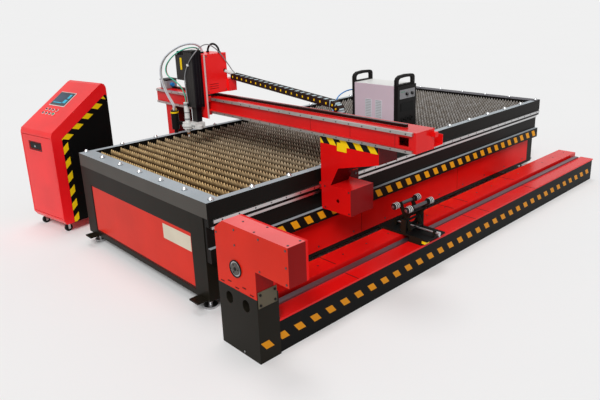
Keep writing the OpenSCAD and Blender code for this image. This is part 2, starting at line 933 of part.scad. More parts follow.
module end_frame_handle(x) {
  near = source_y;
  far = source_y + source_w;
  top = src_top + handle_h;
  difference() {
    prism_x(arch(near, far, src_top - eps, top, 42), x);
    prism_x(arch(near + handle_leg, far - handle_leg, src_top + handle_sill, top - grip_t, 24),
      [x[0] - eps, x[1] + eps]);
  }
}

module psu_ends()
  color(black) {
    block([src_x0 - src_end, src_x0], [source_y, source_y + source_w], [src_z, src_top]);
    end_frame_handle([src_x0 - src_end, src_x0]);
    difference() {
      union() {
        block([src_x1, src_x1 + src_front], [source_y, source_y + source_w], [src_z, src_top]);
        end_frame_handle([src_x1, src_x1 + src_end]);
      }
      for (y = knob_ys)
        rod_x([src_x1 + src_front - 12, src_x1 + src_front + eps], y, knob_z, knob_shaft + fit);
    }
  }

module psu_knob(y)
  color(black) {
    rod_x([src_x1 + src_front + 0.5, src_x1 + src_front + knob_l], y, knob_z, knob_r);
    rod_x([src_x1 + src_front - 11, src_x1 + src_front + knob_l], y, knob_z, knob_shaft);
  }

module psu_knob_1() psu_knob(knob_ys[0]);
module psu_knob_2() psu_knob(knob_ys[1]);

// Cabinet

module in_cabinet()
  translate([cab_x, cab_y, 0])
    rotate([0, 0, cab_turn])
      children();

// On the sloped face: x across, y up the slope, z out of it
module on_slope()
  in_cabinet()
    translate([0, slope_y0, slope_z0])
      rotate([slope_a, 0, 0])
        children();

cab_outline = [[22, cab_z], [0, cab_z + 35], [0, cab_front - 21], [slope_y0, slope_z0],
  [slope_y1, slope_z1], [cab_d - 36, cab_top - 1], [cab_d - 14, cab_top - 12], [cab_d - 2, cab_top - 36],
  [cab_d, cab_top - 64], [cab_d, cab_z]];
slope_rise = tan(slope_a);
cab_inside = [[cab_face, cab_z + cab_wall], [cab_face, slope_z0 - 20],
  [cab_d - 70, slope_z0 - 20 + (cab_d - 70 - cab_face) * slope_rise - 10],
  [cab_d - cab_wall, cab_top - 90], [cab_d - cab_wall, cab_z + cab_wall]];
function side_shape(gap, past) = [[cab_band + gap, cab_z - past], [cab_band + gap, side_top - gap],
  [side_back, side_top - gap + (side_back - cab_band - gap) * slope_rise],
  [cab_d + past, cab_top - side_drop - 2 * gap], [cab_d + past, cab_z - past]];
side_outline = side_shape(0, eps);
side_panel = side_shape(side_gap, 0);

module hinge_pins(r, l)
  for (z = [door_z0 + door_gap / 2 - l, door_z1 - door_gap / 2])
    translate([door_x0 + hinge_in, door_t / 2, z])
      cylinder(r = r, h = l);

module cabinet_body()
  color(red)
    in_cabinet()
      difference() {
        prism_x(cab_outline, [0, cab_w]);
        prism_x(cab_inside, [cab_side, cab_w - cab_side]);
        block([door_x0 - door_gap / 2, door_x1 + door_gap / 2], [-eps, cab_face + eps],
          [door_z0 - door_gap / 2, door_z1 + door_gap / 2]);
        prism_x(side_outline, [-eps, cab_pocket]);
        prism_x(side_outline, [cab_w - cab_pocket, cab_w + eps]);
        hinge_pins(hinge_r + fit, hinge_l + 3);
        for (at = [start_at, stop_at])
          translate([0, slope_y0, slope_z0])
            rotate([slope_a, 0, 0])
              translate([at[0], at[1], -button_in - 6])
                cylinder(r = button_r / 2 + fit, h = button_in + 7);
      }

module cabinet_sides()
  color(black)
    in_cabinet() {
      prism_x(side_panel, [side_gap, cab_pocket]);
      prism_x(side_panel, [cab_w - cab_pocket, cab_w - side_gap]);
    }

module screen()
  color(black)
    on_slope()
      block(screen_x, screen_s, [0, screen_t]);

module cabinet_door()
  color(red)
    in_cabinet() {
      difference() {
        block([door_x0 + door_gap, door_x1], [0, door_t], [door_z0 + door_gap / 2, door_z1 - door_gap / 2]);
        block([latch_x0, latch_x1], [-eps, latch_d], [latch_z0, latch_z1]);
        rod_x([latch_x0 - 6, latch_x1 + 6], 6, latch_z1 - 9, latch_pin + fit);
      }
      hinge_pins(hinge_r, hinge_l);
    }

module door_latch()
  color(black)
    in_cabinet() {
      block([latch_x0 + 4, latch_x1 - 4], [2, 8], [latch_z0 + 4, latch_z1 - 6]);
      rod_x([latch_x0 - 5, latch_x1 + 5], 6, latch_z1 - 9, latch_pin);
    }

module push_button(at)
  on_slope()
    translate([at[0], at[1], 0]) {
      translate([0, 0, 4])
        cylinder(r = button_r, h = button_h - 4);
      translate([0, 0, -button_in])
        cylinder(r = button_r / 2, h = button_in + 5);
    }

module start_button() color(green) push_button(start_at);
module stop_button() color(red) push_button(stop_at);

module at_casters(ys)
  in_cabinet()
    for (x = [caster_in, cab_w - caster_in], y = ys)
      translate([x, y, 0])
        children();

module caster_forks() {
  leg = caster_w / 2 + 3;
  color(steel)
    at_casters([caster_in, cab_d - caster_in]) {
      block([-leg - 4, leg + 4], [-22, 22], [cab_z - 6, cab_z]);
      for (s = [-1, 1])
        block([s * (leg + 2) - 2, s * (leg + 2) + 2], [-10, 10], [caster_r - 10, cab_z - 5]);
      rod_x([-leg - 1, leg + 1], 0, caster_r, axle_r);
    }
}

module caster_wheel()
  color(black)
    difference() {
      rod_x([-caster_w / 2, caster_w / 2], 0, caster_r, caster_r);
      rod_x([-caster_w, caster_w], 0, caster_r, axle_r + fit);
    }

module front_wheels() at_casters([caster_in]) caster_wheel();
module rear_wheels() at_casters([cab_d - caster_in]) caster_wheel();

// Gantry

module gantry_beam()
  color(red)
    difference() {
      block([beam_x0, beam_x1], [gantry_y, beam_back], [beam_z, beam_top]);
      block([beam_x0 + beam_wall, beam_x1 - beam_wall], [gantry_y + beam_wall, beam_back - beam_wall],
        [beam_z + beam_wall, beam_top - beam_wall]);
      block([window_x, window_x + 70], [gantry_y - eps, gantry_y + 2 * beam_wall],
        [beam_z + 35, beam_z + 85]);
    }

module foot_plate()
  difference() {
    block([foot_x, box_x], [gantry_y, gantry_y + foot_plate_l], [foot_z, foot_top]);
    rod_x([foot_x - eps, box_x + eps], pinion_y, pinion_z, shaft_r + fit);
  }

module slide_blocks() {
  z = [rail_z + rail_w / 2 - block_h / 2, rail_z + rail_w / 2 + block_h / 2];
  for (y = [gantry_y + 10, gantry_y + foot_plate_l - block_l - 10])
    difference() {
      block([half_w + 2, foot_x], [y, y + block_l], z);
      block([half_w - eps, half_w + rail_out + slide_gap], [y - eps, y + block_l + eps],
        [rail_z - slide_gap, rail_z + rail_w + slide_gap]);
    }
}

module gantry_columns() {
  right = [[foot_x, foot_top], [box_x, foot_top], [box_x, box_top], [waist_x, box_top], [knee_x, knee_z],
    [arm_x, arm_z], [arm_x, beam_z], [foot_x, beam_z]];
  right_in = [[foot_x + beam_wall, foot_top + beam_wall], [waist_x - beam_wall, foot_top + beam_wall],
    [knee_x - beam_wall, knee_z + beam_wall], [arm_x - 2 * beam_wall, arm_z + beam_wall],
    [arm_x - 2 * beam_wall, beam_z + eps], [foot_x + beam_wall, beam_z + eps]];
  left_x = foot_x + left_col_w;
  left = [[foot_x, foot_top], [box_x, foot_top], [box_x, box_top], [left_x, box_top],
    [left_x, beam_z], [foot_x, beam_z]];
  left_in = [[foot_x + beam_wall, foot_top + beam_wall], [left_x - beam_wall, foot_top + beam_wall],
    [left_x - beam_wall, beam_z + eps], [foot_x + beam_wall, beam_z + eps]];
  depth = [gantry_y, beam_back];
  inside = [gantry_y + beam_wall, beam_back - beam_wall];
  color(red) {
    both_sides() {
      foot_plate();
      slide_blocks();
    }
    difference() {
      prism_y(right, depth);
      prism_y(right_in, inside);
    }
    mirror([1, 0, 0])
      difference() {
        prism_y(left, depth);
        prism_y(left_in, inside);
      }
  }
}

module motor_box(w) {
  wall = house_wall;
  y = [gantry_y, gantry_y + motor_box_d];
  difference() {
    block([box_x, box_x + w], y, [foot_z, box_top]);
    block([box_x - eps, box_x + w - wall], [y[0] + wall, y[1] - wall], [foot_z + wall, box_top - wall]);
    rod_y(box_x + 131, [y[0] - eps, y[0] + 2 * wall], foot_z + 81, 12);
  }
  difference() {
    block([box_x, box_x + motor_l], [pinion_y - motor_sq / 2, pinion_y + motor_sq / 2],
      [pinion_z - motor_sq / 2, pinion_z + motor_sq / 2]);
    rod_x([box_x - eps, box_x + shaft_in + 3], pinion_y, pinion_z, shaft_r + fit);
  }
}

module motor_boxes()
  color(red) {
    motor_box(motor_box_w);
    mirror([1, 0, 0]) motor_box(left_box_w);
  }

module x_rails() {
  x = [beam_x0 + 20, beam_x1 - 17];
  y = [gantry_y - rail_out, gantry_y];
  color(steel) {
    block(x, y, [beam_top - x_rail_in, beam_top]);
    block(x, y, [beam_z, beam_z + x_rail_in]);
    block([beam_x0 + 40, beam_x1 - 127], [x_rack_y, x_rack_y + rack_w], [beam_top, beam_top + x_rack_h]);
  }
}

module chain_trough() {
  back = beam_back + trough_d;
  color(red) {
    block([trough_x0, beam_x1], [beam_back, back], [trough_z, trough_z + sheet_t]);
    block([trough_x0, beam_x1], [back - sheet_t, back], [trough_z, trough_z + trough_h]);
  }
}

module pinion_and_shaft(x, r) {
  rod_x([x, x + rack_w - 1], pinion_y, pinion_z, r);
  rod_x([x, box_x + shaft_in], pinion_y, pinion_z, shaft_r);
}

module y_pinions()
  color(steel)
    both_sides()
      pinion_and_shaft(web_x + 1, pinion_r);

// Carriage

module x_block(x, z)
  difference() {
    block([x, x + block_l], [plate_y, gantry_y - 1], [z - x_block_h / 2, z + x_block_h / 2]);
    block([x - eps, x + block_l + eps], [gantry_y - rail_out - slide_gap, gantry_y],
      [z - x_rail_in / 2 - slide_gap, z + x_rail_in / 2 + slide_gap]);
  }

module carriage_plate() {
  motor_z0 = x_pinion_z - x_motor / 2;
  color(red) {
    block([plate_x0, plate_x1], [plate_y - plate_t, plate_y], [plate_z, cover_top]);
    for (x = [plate_x0 + 12, plate_x1 - 12 - block_l])
      for (z = [beam_z + x_rail_in / 2, beam_top - x_rail_in / 2])
        x_block(x, z);
  }
  color(black)
    difference() {
      block([carriage_x - x_motor / 2, carriage_x + x_motor / 2], [plate_y, x_rack_y - 8],
        [motor_z0, motor_z0 + x_motor]);
      rod_y(carriage_x, [x_rack_y - 28, x_rack_y], x_pinion_z, x_shaft_r + fit);
    }
}

module carriage_cover() {
  lead_r = 14;
  lead_y = cover_y1 - 20;
  lead_z = cover_z + 165;
  color(red) {
    difference() {
      block([plate_x0, cover_x1], [plate_y, cover_y1], [cover_z, cover_top]);
      block([plate_x0 + sheet_t, cover_x1 - sheet_t], [plate_y - eps, cover_y1 - sheet_t],
        [cover_z - eps, cover_top - sheet_t]);
      rod_x([cover_x1 - 2 * sheet_t, cover_x1 + eps], lead_y, lead_z, lead_r);
    }
    block([chain_x0 - bracket_l, chain_x0], [cover_y1 - sheet_t, chain_y + bracket_past],
      [cover_z, bracket_top]);
  }
}

module lifter_body()
  color(black) {
    difference() {
      block([lifter_x0, lifter_x1], [lifter_front, plate_y - plate_t], [lifter_z, lifter_top]);
      block([lifter_mid - slide_w / 2 - 2, lifter_mid + slide_w / 2 + 2],
        [slide_y - 2, slide_y + slide_d + 2], [lifter_z - eps, lifter_top - 20]);
    }
    block([lifter_x0 - height_box_w, lifter_x0], [lifter_front + 15, plate_y - plate_t],
      [height_box_z, height_box_z + height_box_h]);
  }

module drag_chain()
  color(black) {
    block([chain_x0, chain_x0 + seat_l], [chain_y - chain_w / 2, chain_y + chain_w / 2],
      [seat_z, chain_top + chain_h / 2]);
    translate([chain_x0, chain_y, chain_top])
      rotate([0, chain_tilt, 0]) {
        block([seat_l / 2, chain_run], [-chain_w / 2 + link_in, chain_w / 2 - link_in],
          [-chain_h / 2 + link_in, chain_h / 2 - link_in]);
        for (i = [1:link_n - 1])
          block([i * link_pitch, i * link_pitch + link_l], [-chain_w / 2, chain_w / 2],
            [-chain_h / 2, chain_h / 2]);
      }
  }

module chain_arc(a0, a1, w, h)
  translate([chain_x1 + 2, chain_y, chain_low + chain_r])
    rotate([90, 0, 0])
      rotate([0, 0, a0])
        rotate_extrude(angle = a1 - a0)
          translate([chain_r - h / 2, -w / 2])
            square([h, w]);

module chain_bend() {
  x1 = chain_x1 + 2;
  arc_n = 5;
  step = 180 / arc_n;
  color(black) {
    chain_arc(-90, bend_end, chain_w - 2 * link_in, chain_h - 2 * link_in);
    for (i = [0:arc_n - 1])
      chain_arc(-90 + i * step + 3, min(bend_end - 1, -90 + (i + 1) * step - 3), chain_w, chain_h);
    block([x1 - low_run, x1], [chain_y - chain_w / 2 + link_in, chain_y + chain_w / 2 - link_in],
      [chain_low - chain_h / 2 + link_in, chain_low + chain_h / 2 - link_in]);
  }
}

module x_pinion()
  color(steel) {
    rod_y(carriage_x, [x_rack_y - 5, x_rack_y + rack_w], x_pinion_z, x_pinion_r);
    rod_y(carriage_x, [x_rack_y - 26, x_rack_y], x_pinion_z, x_shaft_r);
  }

// Torch

module lift_slide()
  color(dark)
    block([lifter_mid - slide_w / 2, lifter_mid + slide_w / 2], [slide_y, slide_y + slide_d],
      [slide_z, slide_top]);

module torch_clamp()
  color(white) {
    difference() {
      union() {
        block([torch_x, clamp_x], [torch_y + 8, slide_y + slide_d], [clamp_z + 4, slide_z]);
        translate([torch_x, torch_y, clamp_z])
          cylinder(r = 2 * torch_r, h = slide_z - clamp_z);
        translate([torch_x, torch_y, clamp_z + clamp_h / 3])
          cylinder(r = 2 * torch_r + 6, h = clamp_h / 4);
        translate([clamp_x, torch_y + 8 + clamp_boss, clamp_z + 4])
          cylinder(r = clamp_boss, h = clamp_h / 2);
      }
      translate([torch_x, torch_y, clamp_z - eps])
        cylinder(r = torch_r + fit, h = clamp_h + 2 * eps);
    }
  }

module torch()
  color(white)
    translate([torch_x, torch_y, 0]) {
      translate([0, 0, clamp_z - 20])
        cylinder(r = torch_r, h = torch_top - clamp_z + 20);
      translate([0, 0, torch_tip + 22])
        cylinder(r1 = 9, r2 = torch_r - 4, h = clamp_z - torch_tip - 41);
      translate([0, 0, torch_tip])
        cylinder(r = 6, h = 23);
    }

module aux_torch()
  color(black) {
    translate([aux_x, torch_y, 0]) {
      translate([0, 0, aux_z])
        cylinder(r = aux_r, h = aux_top - aux_z);
      translate([0, 0, torch_tip + 4])
        cylinder(r = aux_r / 2, h = aux_z - torch_tip - 3);
    }
    block([aux_x, torch_x - 2 * torch_r - 6.3], [torch_y + 4, torch_y + 26], [clamp_z + 10, clamp_z + 34]);
  }

// Routes of the hoses: over the lifter to both torches, and from the gantry to the power source
torch_route = [[-470, -1085, 1394.4], [-470, -1085, 1412], [-472, -1100, 1430], [-484, -1136, 1438],
  [-512, -1186, 1430], [-550, -1242, 1400], [-590, -1276, 1356], [-618, -1294, 1312], [-626, -1300, 1270],
  [-604, -1302, 1236], [-558, -1300, 1214], [-504, -1295, 1192], [-456, -1285, 1158], [-433, -1275, 1112],
  [-426.5, -1269, 1066], [-426.5, -1269, 1036.6]];
aux_route = [[-434, -1085, 1394.4], [-434, -1085, 1420], [-438, -1100, 1448], [-462, -1140, 1468],
  [-508, -1196, 1462], [-556, -1254, 1430], [-606, -1298, 1382], [-646, -1322, 1318], [-658, -1330, 1250],
  [-654, -1324, 1180], [-643, -1309, 1110], [-628, -1288, 1044], [-613.5, -1270, 996], [-612.5, -1269, 974],
  [-612.5, -1269, 952.6]];
air_route = [[640, -853.4, 985], [640, -838, 985], [632, -806, 978], [590, -735, 962], [470, -580, 944],
  [310, -385, 944], [170, -215, 958], [90, -90, 974], [52, 20, 987], [42, 100, 990], [54, 152, 988],
  [78, 170, 986], [96, 170, 986]];
hose_r = 6;
hose_pitch = 14;
air_r = 8;

module torch_hoses()
  color(green) {
    for (k = [-0.5, 0.5]) {
      tube(torch_route, hose_r, [1, 0, 0], k * hose_pitch);
      tube(aux_route, hose_r, [1, 0, 0], k * hose_pitch);
    }
  }

module air_hose()
  color(blue)
    tube(air_route, air_r, [0, 0, 1]);

levelling_feet();
table_frame();
body_panels();
rail_beams();
rails_and_racks();
rim_ends();
rim_cap_nuts();
slat_tray();
slats();
rotary_bed();
rotary_covers();
rotary_guide();
headstock_block();
headstock_housing();
rotary_motor();
drive_belt();
spindle();
chuck_body();
jaw_1();
jaw_2();
jaw_3();
motor_pulley();
roller_base();
lift_screw();
arm_a();
arm_b();
roller_a();
roller_b();
psu_case();
psu_ends();
psu_knob_1();
psu_knob_2();
cabinet_body();
cabinet_sides();
screen();
cabinet_door();
door_latch();
start_button();
stop_button();
caster_forks();
front_wheels();
rear_wheels();
gantry_beam();
gantry_columns();
motor_boxes();
x_rails();
chain_trough();
y_pinions();
carriage_plate();
carriage_cover();
lifter_body();
drag_chain();
chain_bend();
x_pinion();
lift_slide();
torch_clamp();
torch();
aux_torch();
torch_hoses();
air_hose();
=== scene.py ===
import math

import bmesh
import bpy
from mathutils import Matrix, Vector


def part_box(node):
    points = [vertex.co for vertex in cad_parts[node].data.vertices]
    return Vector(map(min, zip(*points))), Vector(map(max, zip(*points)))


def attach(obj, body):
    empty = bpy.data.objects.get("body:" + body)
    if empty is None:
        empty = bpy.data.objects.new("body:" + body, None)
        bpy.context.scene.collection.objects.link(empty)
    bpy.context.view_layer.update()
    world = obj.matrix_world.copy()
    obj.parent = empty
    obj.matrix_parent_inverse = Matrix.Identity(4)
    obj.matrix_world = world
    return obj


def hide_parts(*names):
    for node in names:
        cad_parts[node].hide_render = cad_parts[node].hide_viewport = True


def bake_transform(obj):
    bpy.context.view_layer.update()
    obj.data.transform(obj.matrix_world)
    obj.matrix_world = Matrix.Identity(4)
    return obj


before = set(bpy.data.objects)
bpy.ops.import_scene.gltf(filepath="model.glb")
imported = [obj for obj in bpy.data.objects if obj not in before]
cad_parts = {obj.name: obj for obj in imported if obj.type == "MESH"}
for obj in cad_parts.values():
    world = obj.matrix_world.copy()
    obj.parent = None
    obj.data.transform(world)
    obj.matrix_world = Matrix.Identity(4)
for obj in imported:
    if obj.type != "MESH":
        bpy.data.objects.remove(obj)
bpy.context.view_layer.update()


# Camera at the photograph's place and angle

CAMERA_AT = Vector((3.510, -3.697, 1.827))
CAMERA_AZIMUTH = math.radians(47.610)
CAMERA_ELEVATION = math.radians(16.818)
CAMERA_ROLL = math.radians(-2.207)
CAMERA_LENS = 35.516
CAMERA_SENSOR = 36
CAMERA_SHIFT_Y = -0.05
CAMERA_REACH = 200


def make_camera():
    level = math.cos(CAMERA_ELEVATION)
    forward = Vector((
        -math.sin(CAMERA_AZIMUTH) * level,
        math.cos(CAMERA_AZIMUTH) * level,
        -math.sin(CAMERA_ELEVATION)))
    right = forward.cross(Vector((0, 0, 1))).normalized()
    up = right.cross(forward)
    turned_right = right * math.cos(CAMERA_ROLL) + up * math.sin(CAMERA_ROLL)
    turned_up = up * math.cos(CAMERA_ROLL) - right * math.sin(CAMERA_ROLL)
    data = bpy.data.cameras.new("photo_camera")
    data.sensor_width = CAMERA_SENSOR
    data.lens = CAMERA_LENS
    data.shift_y = CAMERA_SHIFT_Y
    data.clip_end = CAMERA_REACH
    camera = bpy.data.objects.new("photo_camera", data)
    bpy.context.scene.collection.objects.link(camera)
    turn = Matrix((turned_right, turned_up, -forward)).transposed().to_4x4()
    camera.matrix_world = Matrix.Translation(CAMERA_AT) @ turn
    bpy.context.scene.camera = camera


make_camera()


# Materials

def new_material(name):
    material = bpy.data.materials.new(name)
    material.use_nodes = True
    return material, material.node_tree, material.node_tree.nodes["Principled BSDF"]


def noise(tree, scale, stretch=(1, 1, 1), detail=4):
    coords = tree.nodes.new("ShaderNodeTexCoord")
    mapping = tree.nodes.new("ShaderNodeMapping")
    mapping.inputs["Scale"].default_value = stretch
    texture = tree.nodes.new("ShaderNodeTexNoise")
    texture.inputs["Scale"].default_value = scale
    texture.inputs["Detail"].default_value = detail
    tree.links.new(coords.outputs["Object"], mapping.inputs["Vector"])
    tree.links.new(mapping.outputs["Vector"], texture.inputs["Vector"])
    return texture.outputs["Fac"]


def ramp(tree, source, dark, light, low=0.35, high=0.65):
    node = tree.nodes.new("ShaderNodeValToRGB")
    node.color_ramp.elements[0].position = low
    node.color_ramp.elements[0].color = (*dark, 1)
    node.color_ramp.elements[1].position = high
    node.color_ramp.elements[1].color = (*light, 1)
    tree.links.new(source, node.inputs["Fac"])
    return node.outputs["Color"]


def bump(tree, shader, source, strength, depth=0.001):
    node = tree.nodes.new("ShaderNodeBump")
    node.inputs["Strength"].default_value = strength
    node.inputs["Distance"].default_value = depth
    tree.links.new(source, node.inputs["Height"])
    tree.links.new(node.outputs["Normal"], shader.inputs["Normal"])


def shade(color, factor):
    return tuple(min(1.0, channel * factor) for channel in color)


SPREAD = 0.07


def blotched(tree, color, spread):
    return ramp(tree, noise(tree, 3.0), shade(color, 1 - spread), shade(color, 1 + spread))


def paint(name, color, roughness, specular=0.15, spread=SPREAD, orange_peel=0.05):
    material, tree, shader = new_material(name)
    coat(shader, tree, blotched(tree, color, spread), roughness, specular)
    bump(tree, shader, noise(tree, 260.0, detail=2), orange_peel)
    return material


def axis_of(tree, source, axis):
    """One axis of the face's place or direction."""
    geometry = tree.nodes.new("ShaderNodeNewGeometry")
    parts = tree.nodes.new("ShaderNodeSeparateXYZ")
    tree.links.new(geometry.outputs[source], parts.inputs["Vector"])
    return parts.outputs[axis]


def mix(tree, first, second, blend="MIX"):
    node = tree.nodes.new("ShaderNodeMix")
    node.data_type = "RGBA"
    node.blend_type = blend
    node.inputs[0].default_value = 1.0
    tree.links.new(first, node.inputs[6])
    tree.links.new(second, node.inputs[7])
    return node


def split(tree, source, axis, limit, below, above):
    """Picks a colour by one axis of the face's place or direction."""
    test = tree.nodes.new("ShaderNodeMath")
    test.operation = "GREATER_THAN"
    test.inputs[1].default_value = limit
    tree.links.new(axis_of(tree, source, axis), test.inputs[0])
    node = mix(tree, below, above)
    tree.links.new(test.outputs["Value"], node.inputs[0])
    return node.outputs[2]


FACING = 0.6


def facing(tree, rest, front=None, side=None, top=None):
    """Painted light and shade: a colour for each way a face looks, front towards -Y, side +X and top +Z."""
    color = blotched(tree, rest, SPREAD)
    for axis, limit, tone in (("Y", -FACING, front), ("X", FACING, side), ("Z", FACING, top)):
        if tone is None:
            continue
        tinted = blotched(tree, tone, SPREAD)
        below, above = (tinted, color) if limit < 0 else (color, tinted)
        color = split(tree, "Normal", axis, limit, below, above)
    return color


def coat(shader, tree, color, roughness, specular=0.15, metallic=0.0):
    tree.links.new(color, shader.inputs["Base Color"])
    shader.inputs["Roughness"].default_value = roughness
    shader.inputs["Specular IOR Level"].default_value = specular
    shader.inputs["Metallic"].default_value = metallic


# A material with painted light and shade by the way each face looks
def faced(name, rest, roughness, specular=0.15, **tones):
    material, tree, shader = new_material(name)
    coat(shader, tree, facing(tree, rest, **tones), roughness, specular)
    return material


def stepped(name, height, below, above, roughness, specular=0.15, metallic=0.0):
    """Changes colour at a height."""
    material, tree, shader = new_material(name)
    low_tone = blotched(tree, below, SPREAD)
    high_tone = blotched(tree, above, SPREAD)
    color = split(tree, "Position", "Z", height, low_tone, high_tone)
    coat(shader, tree, color, roughness, specular, metallic)
    return material


def rim_paint(name, rest, near_front, near_top, far_top):
    """Black rim with painted sheen: the front and top of its near end are painted lighter than those of its
    far end.
    """
    material, tree, shader = new_material(name)
    near = facing(tree, rest, front=near_front, top=near_top)
    far = facing(tree, rest, top=far_top)
    coat(shader, tree, split(tree, "Position", "Y", 0.0, near, far), 0.38, 0.07)
    return material


def metal(name, color, roughness, stretch=(1, 1, 1), spread=0.15):
    material, tree, shader = new_material(name)
    grain = noise(tree, 60.0, stretch)
    tint = ramp(tree, grain, shade(color, 1 - spread), color, 0.3, 0.7)
    coat(shader, tree, tint, roughness, specular=0.5, metallic=1.0)
    bump(tree, shader, grain, 0.06)
    return material


def plastic(name, color, roughness):
    return paint(name, color, roughness, specular=0.10, spread=0.05, orange_peel=0.12)


def sheen(name, color, roughness):
    return paint(name, color, roughness, specular=0.5, spread=0.05)


def scaled(tree, axis, low, high):
    """Runs from 0 to 1 along one axis."""
    place = tree.nodes.new("ShaderNodeMapRange")
    place.inputs["From Min"].default_value = low
    place.inputs["From Max"].default_value = high
    tree.links.new(axis_of(tree, "Position", axis), place.inputs["Value"])
    return place.outputs["Result"]


def multiply(tree, first, second):
    return mix(tree, first, second, "MULTIPLY").outputs[2]


def rust(name, near, far, along, heights, below_tips):
    """Speckled rust that greys along the bed and is darker below the tips."""
    material, tree, shader = new_material(name)
    tint = ramp(tree, scaled(tree, "Y", *along), near, far, 0, 1)
    depth = ramp(tree, scaled(tree, "Z", *heights), below_tips, (1, 1, 1), 0, 1)
    specks = ramp(tree, noise(tree, 34.0, detail=8), (0.55, 0.50, 0.44), (1, 1, 1))
    color = multiply(tree, multiply(tree, tint, depth), specks)
    coat(shader, tree, color, 0.72, specular=0.3, metallic=0.15)
    bump(tree, shader, noise(tree, 120.0, detail=6), 0.4)
    return material


RED_COLOR = (0.72, 0.006, 0.006)
# Orange-red painted warm light for the front (-Y) faces of the panels and housing
FRONT_LIT_RED = (0.62, 0.022, 0.008)
BLACK_COLOR = (0.004, 0.004, 0.004)
BLOCK_COLOR = (0.012, 0.010, 0.007)
RIM_COLOR = (0.007, 0.006, 0.005)
# Bluish-grey painted sheen on the top faces of the black rim
RIM_TOP_SHEEN = (0.38, 0.42, 0.45)

# Heights where two-coloured nodes change colour
BLOCK_TOP = 0.3685
BEAM_RAIL_MIDDLE = 1.0625

RED = paint("machine_red", RED_COLOR, 0.24, specular=0.18)
# Body panels: painted light, a brighter red on the side and other faces and painted warm light on the front
# faces
PANEL_RED = faced("panel_red", (0.95, 0.008, 0.006), 0.28, 0.08, front=FRONT_LIT_RED)
# Headstock housing: a darker red for the other faces, painted shade on the side (+X) faces, a pink painted
# highlight on the top and painted warm light on the front
HOUSING_RED = faced("housing_red", (0.50, 0.006, 0.006), 0.26, 0.08, front=FRONT_LIT_RED,
                    side=(0.22, 0.002, 0.002), top=(0.88, 0.15, 0.15))
# Gantry columns: painted shade, near black, on the side (+X) faces
COLUMN_RED = faced("column_red", RED_COLOR, 0.26, 0.08, side=(0.08, 0.001, 0.002))
# Motor boxes: painted shade, dark red, on the side (+X) faces
MOTOR_RED = faced("motor_red", RED_COLOR, 0.26, 0.08, side=(0.20, 0.001, 0.002))
# Cabinet: a lighter copy of the machine red, with brighter painted light on the side (+X) faces
CABINET_RED = faced("cabinet_red", (0.80, 0.014, 0.015), 0.22, 0.30, side=(1.0, 0.012, 0.016))
# Carriage plate and cover: a lighter copy of the machine red, painted light
LIT_COVER_RED = paint("cover_red_lit", (1.0, 0.012, 0.013), 0.26, specular=0.20)
# Black parts: painted light, lighter on the front (-Y) faces
BLACK = faced("frame_black", BLACK_COLOR, 0.42, 0.06, front=(0.018, 0.015, 0.010))
BEARING = stepped("block_black_and_red", BLOCK_TOP, BLOCK_COLOR, RED_COLOR, 0.36, specular=0.07)
DARK = paint("frame_dark", (0.011, 0.009, 0.006), 0.40, specular=0.07)
# Rim beams: black, with painted sheen on their top faces
RIM = faced("rim_black", RIM_COLOR, 0.38, 0.07, top=RIM_TOP_SHEEN)
# Rim ends: painted sheen on the near end's front and top faces
RIM_END = rim_paint("rim_end_black", RIM_COLOR, (0.070, 0.064, 0.056), RIM_TOP_SHEEN, (0.055, 0.050, 0.062))
STEEL = metal("bright_steel", (0.55, 0.55, 0.56), 0.32)
RAIL = metal("ground_steel", (0.60, 0.60, 0.60), 0.30, stretch=(1, 0.05, 1))
BEAM_RAIL = stepped("beam_rail", BEAM_RAIL_MIDDLE, (0.50, 0.48, 0.46), (0.030, 0.014, 0.012), 0.35,
                    metallic=1.0)
GUIDE = metal("guide_steel", (0.21, 0.17, 0.19), 0.45, stretch=(1, 0.05, 1))
DARK_STEEL = metal("dark_steel", (0.10, 0.10, 0.105), 0.38)
CHROME = metal("nut_chrome", (0.60, 0.61, 0.62), 0.24, spread=0.05)
RUST = rust("cut_slat", near=(1.0, 0.70, 0.32), far=(0.56, 0.54, 0.52), along=(-1.9, -0.2),
            heights=(0.662, 0.694), below_tips=(0.09, 0.06, 0.03))
BRASS = metal("brass", (0.72, 0.50, 0.18), 0.28)
COPPER = metal("copper", (0.62, 0.28, 0.14), 0.32)
RUBBER = plastic("rubber", (0.010, 0.010, 0.010), 0.62)
PLASTIC = plastic("black_plastic", (0.009, 0.008, 0.008), 0.45)
CHAIN = plastic("chain_black", (0.022, 0.012, 0.010), 0.48)
# Lifter: painted light, lighter on the front (-Y) faces
LIFTER = faced("lifter_black", (0.006, 0.005, 0.008), 0.42, 0.08, front=(0.036, 0.034, 0.033))
GREY = plastic("grey_plastic", (0.26, 0.26, 0.27), 0.45)
WHITE = plastic("white_plastic", (0.74, 0.74, 0.72), 0.38)
CREAM = plastic("cream_plate", (0.62, 0.56, 0.44), 0.40)
LILAC = paint("source_lilac", (0.72, 0.58, 0.66), 0.36, spread=0.03)
PALE = plastic("vent_pale", (0.66, 0.68, 0.72), 0.45)
CABLES = plastic("cables_pale", (0.55, 0.66, 0.70), 0.45)
YELLOW = plastic("tape_yellow", (0.95, 0.64, 0.006), 0.42)
ORANGE = plastic("tape_orange", (0.90, 0.40, 0.008), 0.45)
AMBER = plastic("tape_amber", (0.66, 0.25, 0.006), 0.45)
TAPE_BLACK = plastic("tape_black", (0.008, 0.008, 0.008), 0.45)
GREEN = plastic("green", (0.02, 0.34, 0.16), 0.35)
MINT = plastic("hose_mint", (0.06, 0.46, 0.30), 0.35)
BLUE = plastic("blue", (0.012, 0.21, 0.58), 0.35)
CYAN = plastic("cyan", (0.05, 0.45, 0.62), 0.38)
LAMP_RED = plastic("signal_red", (0.62, 0.012, 0.012), 0.25)
PICTURE = paint("screen_picture", (0.03, 0.06, 0.10), 0.15, spread=0.5, orange_peel=0.0)
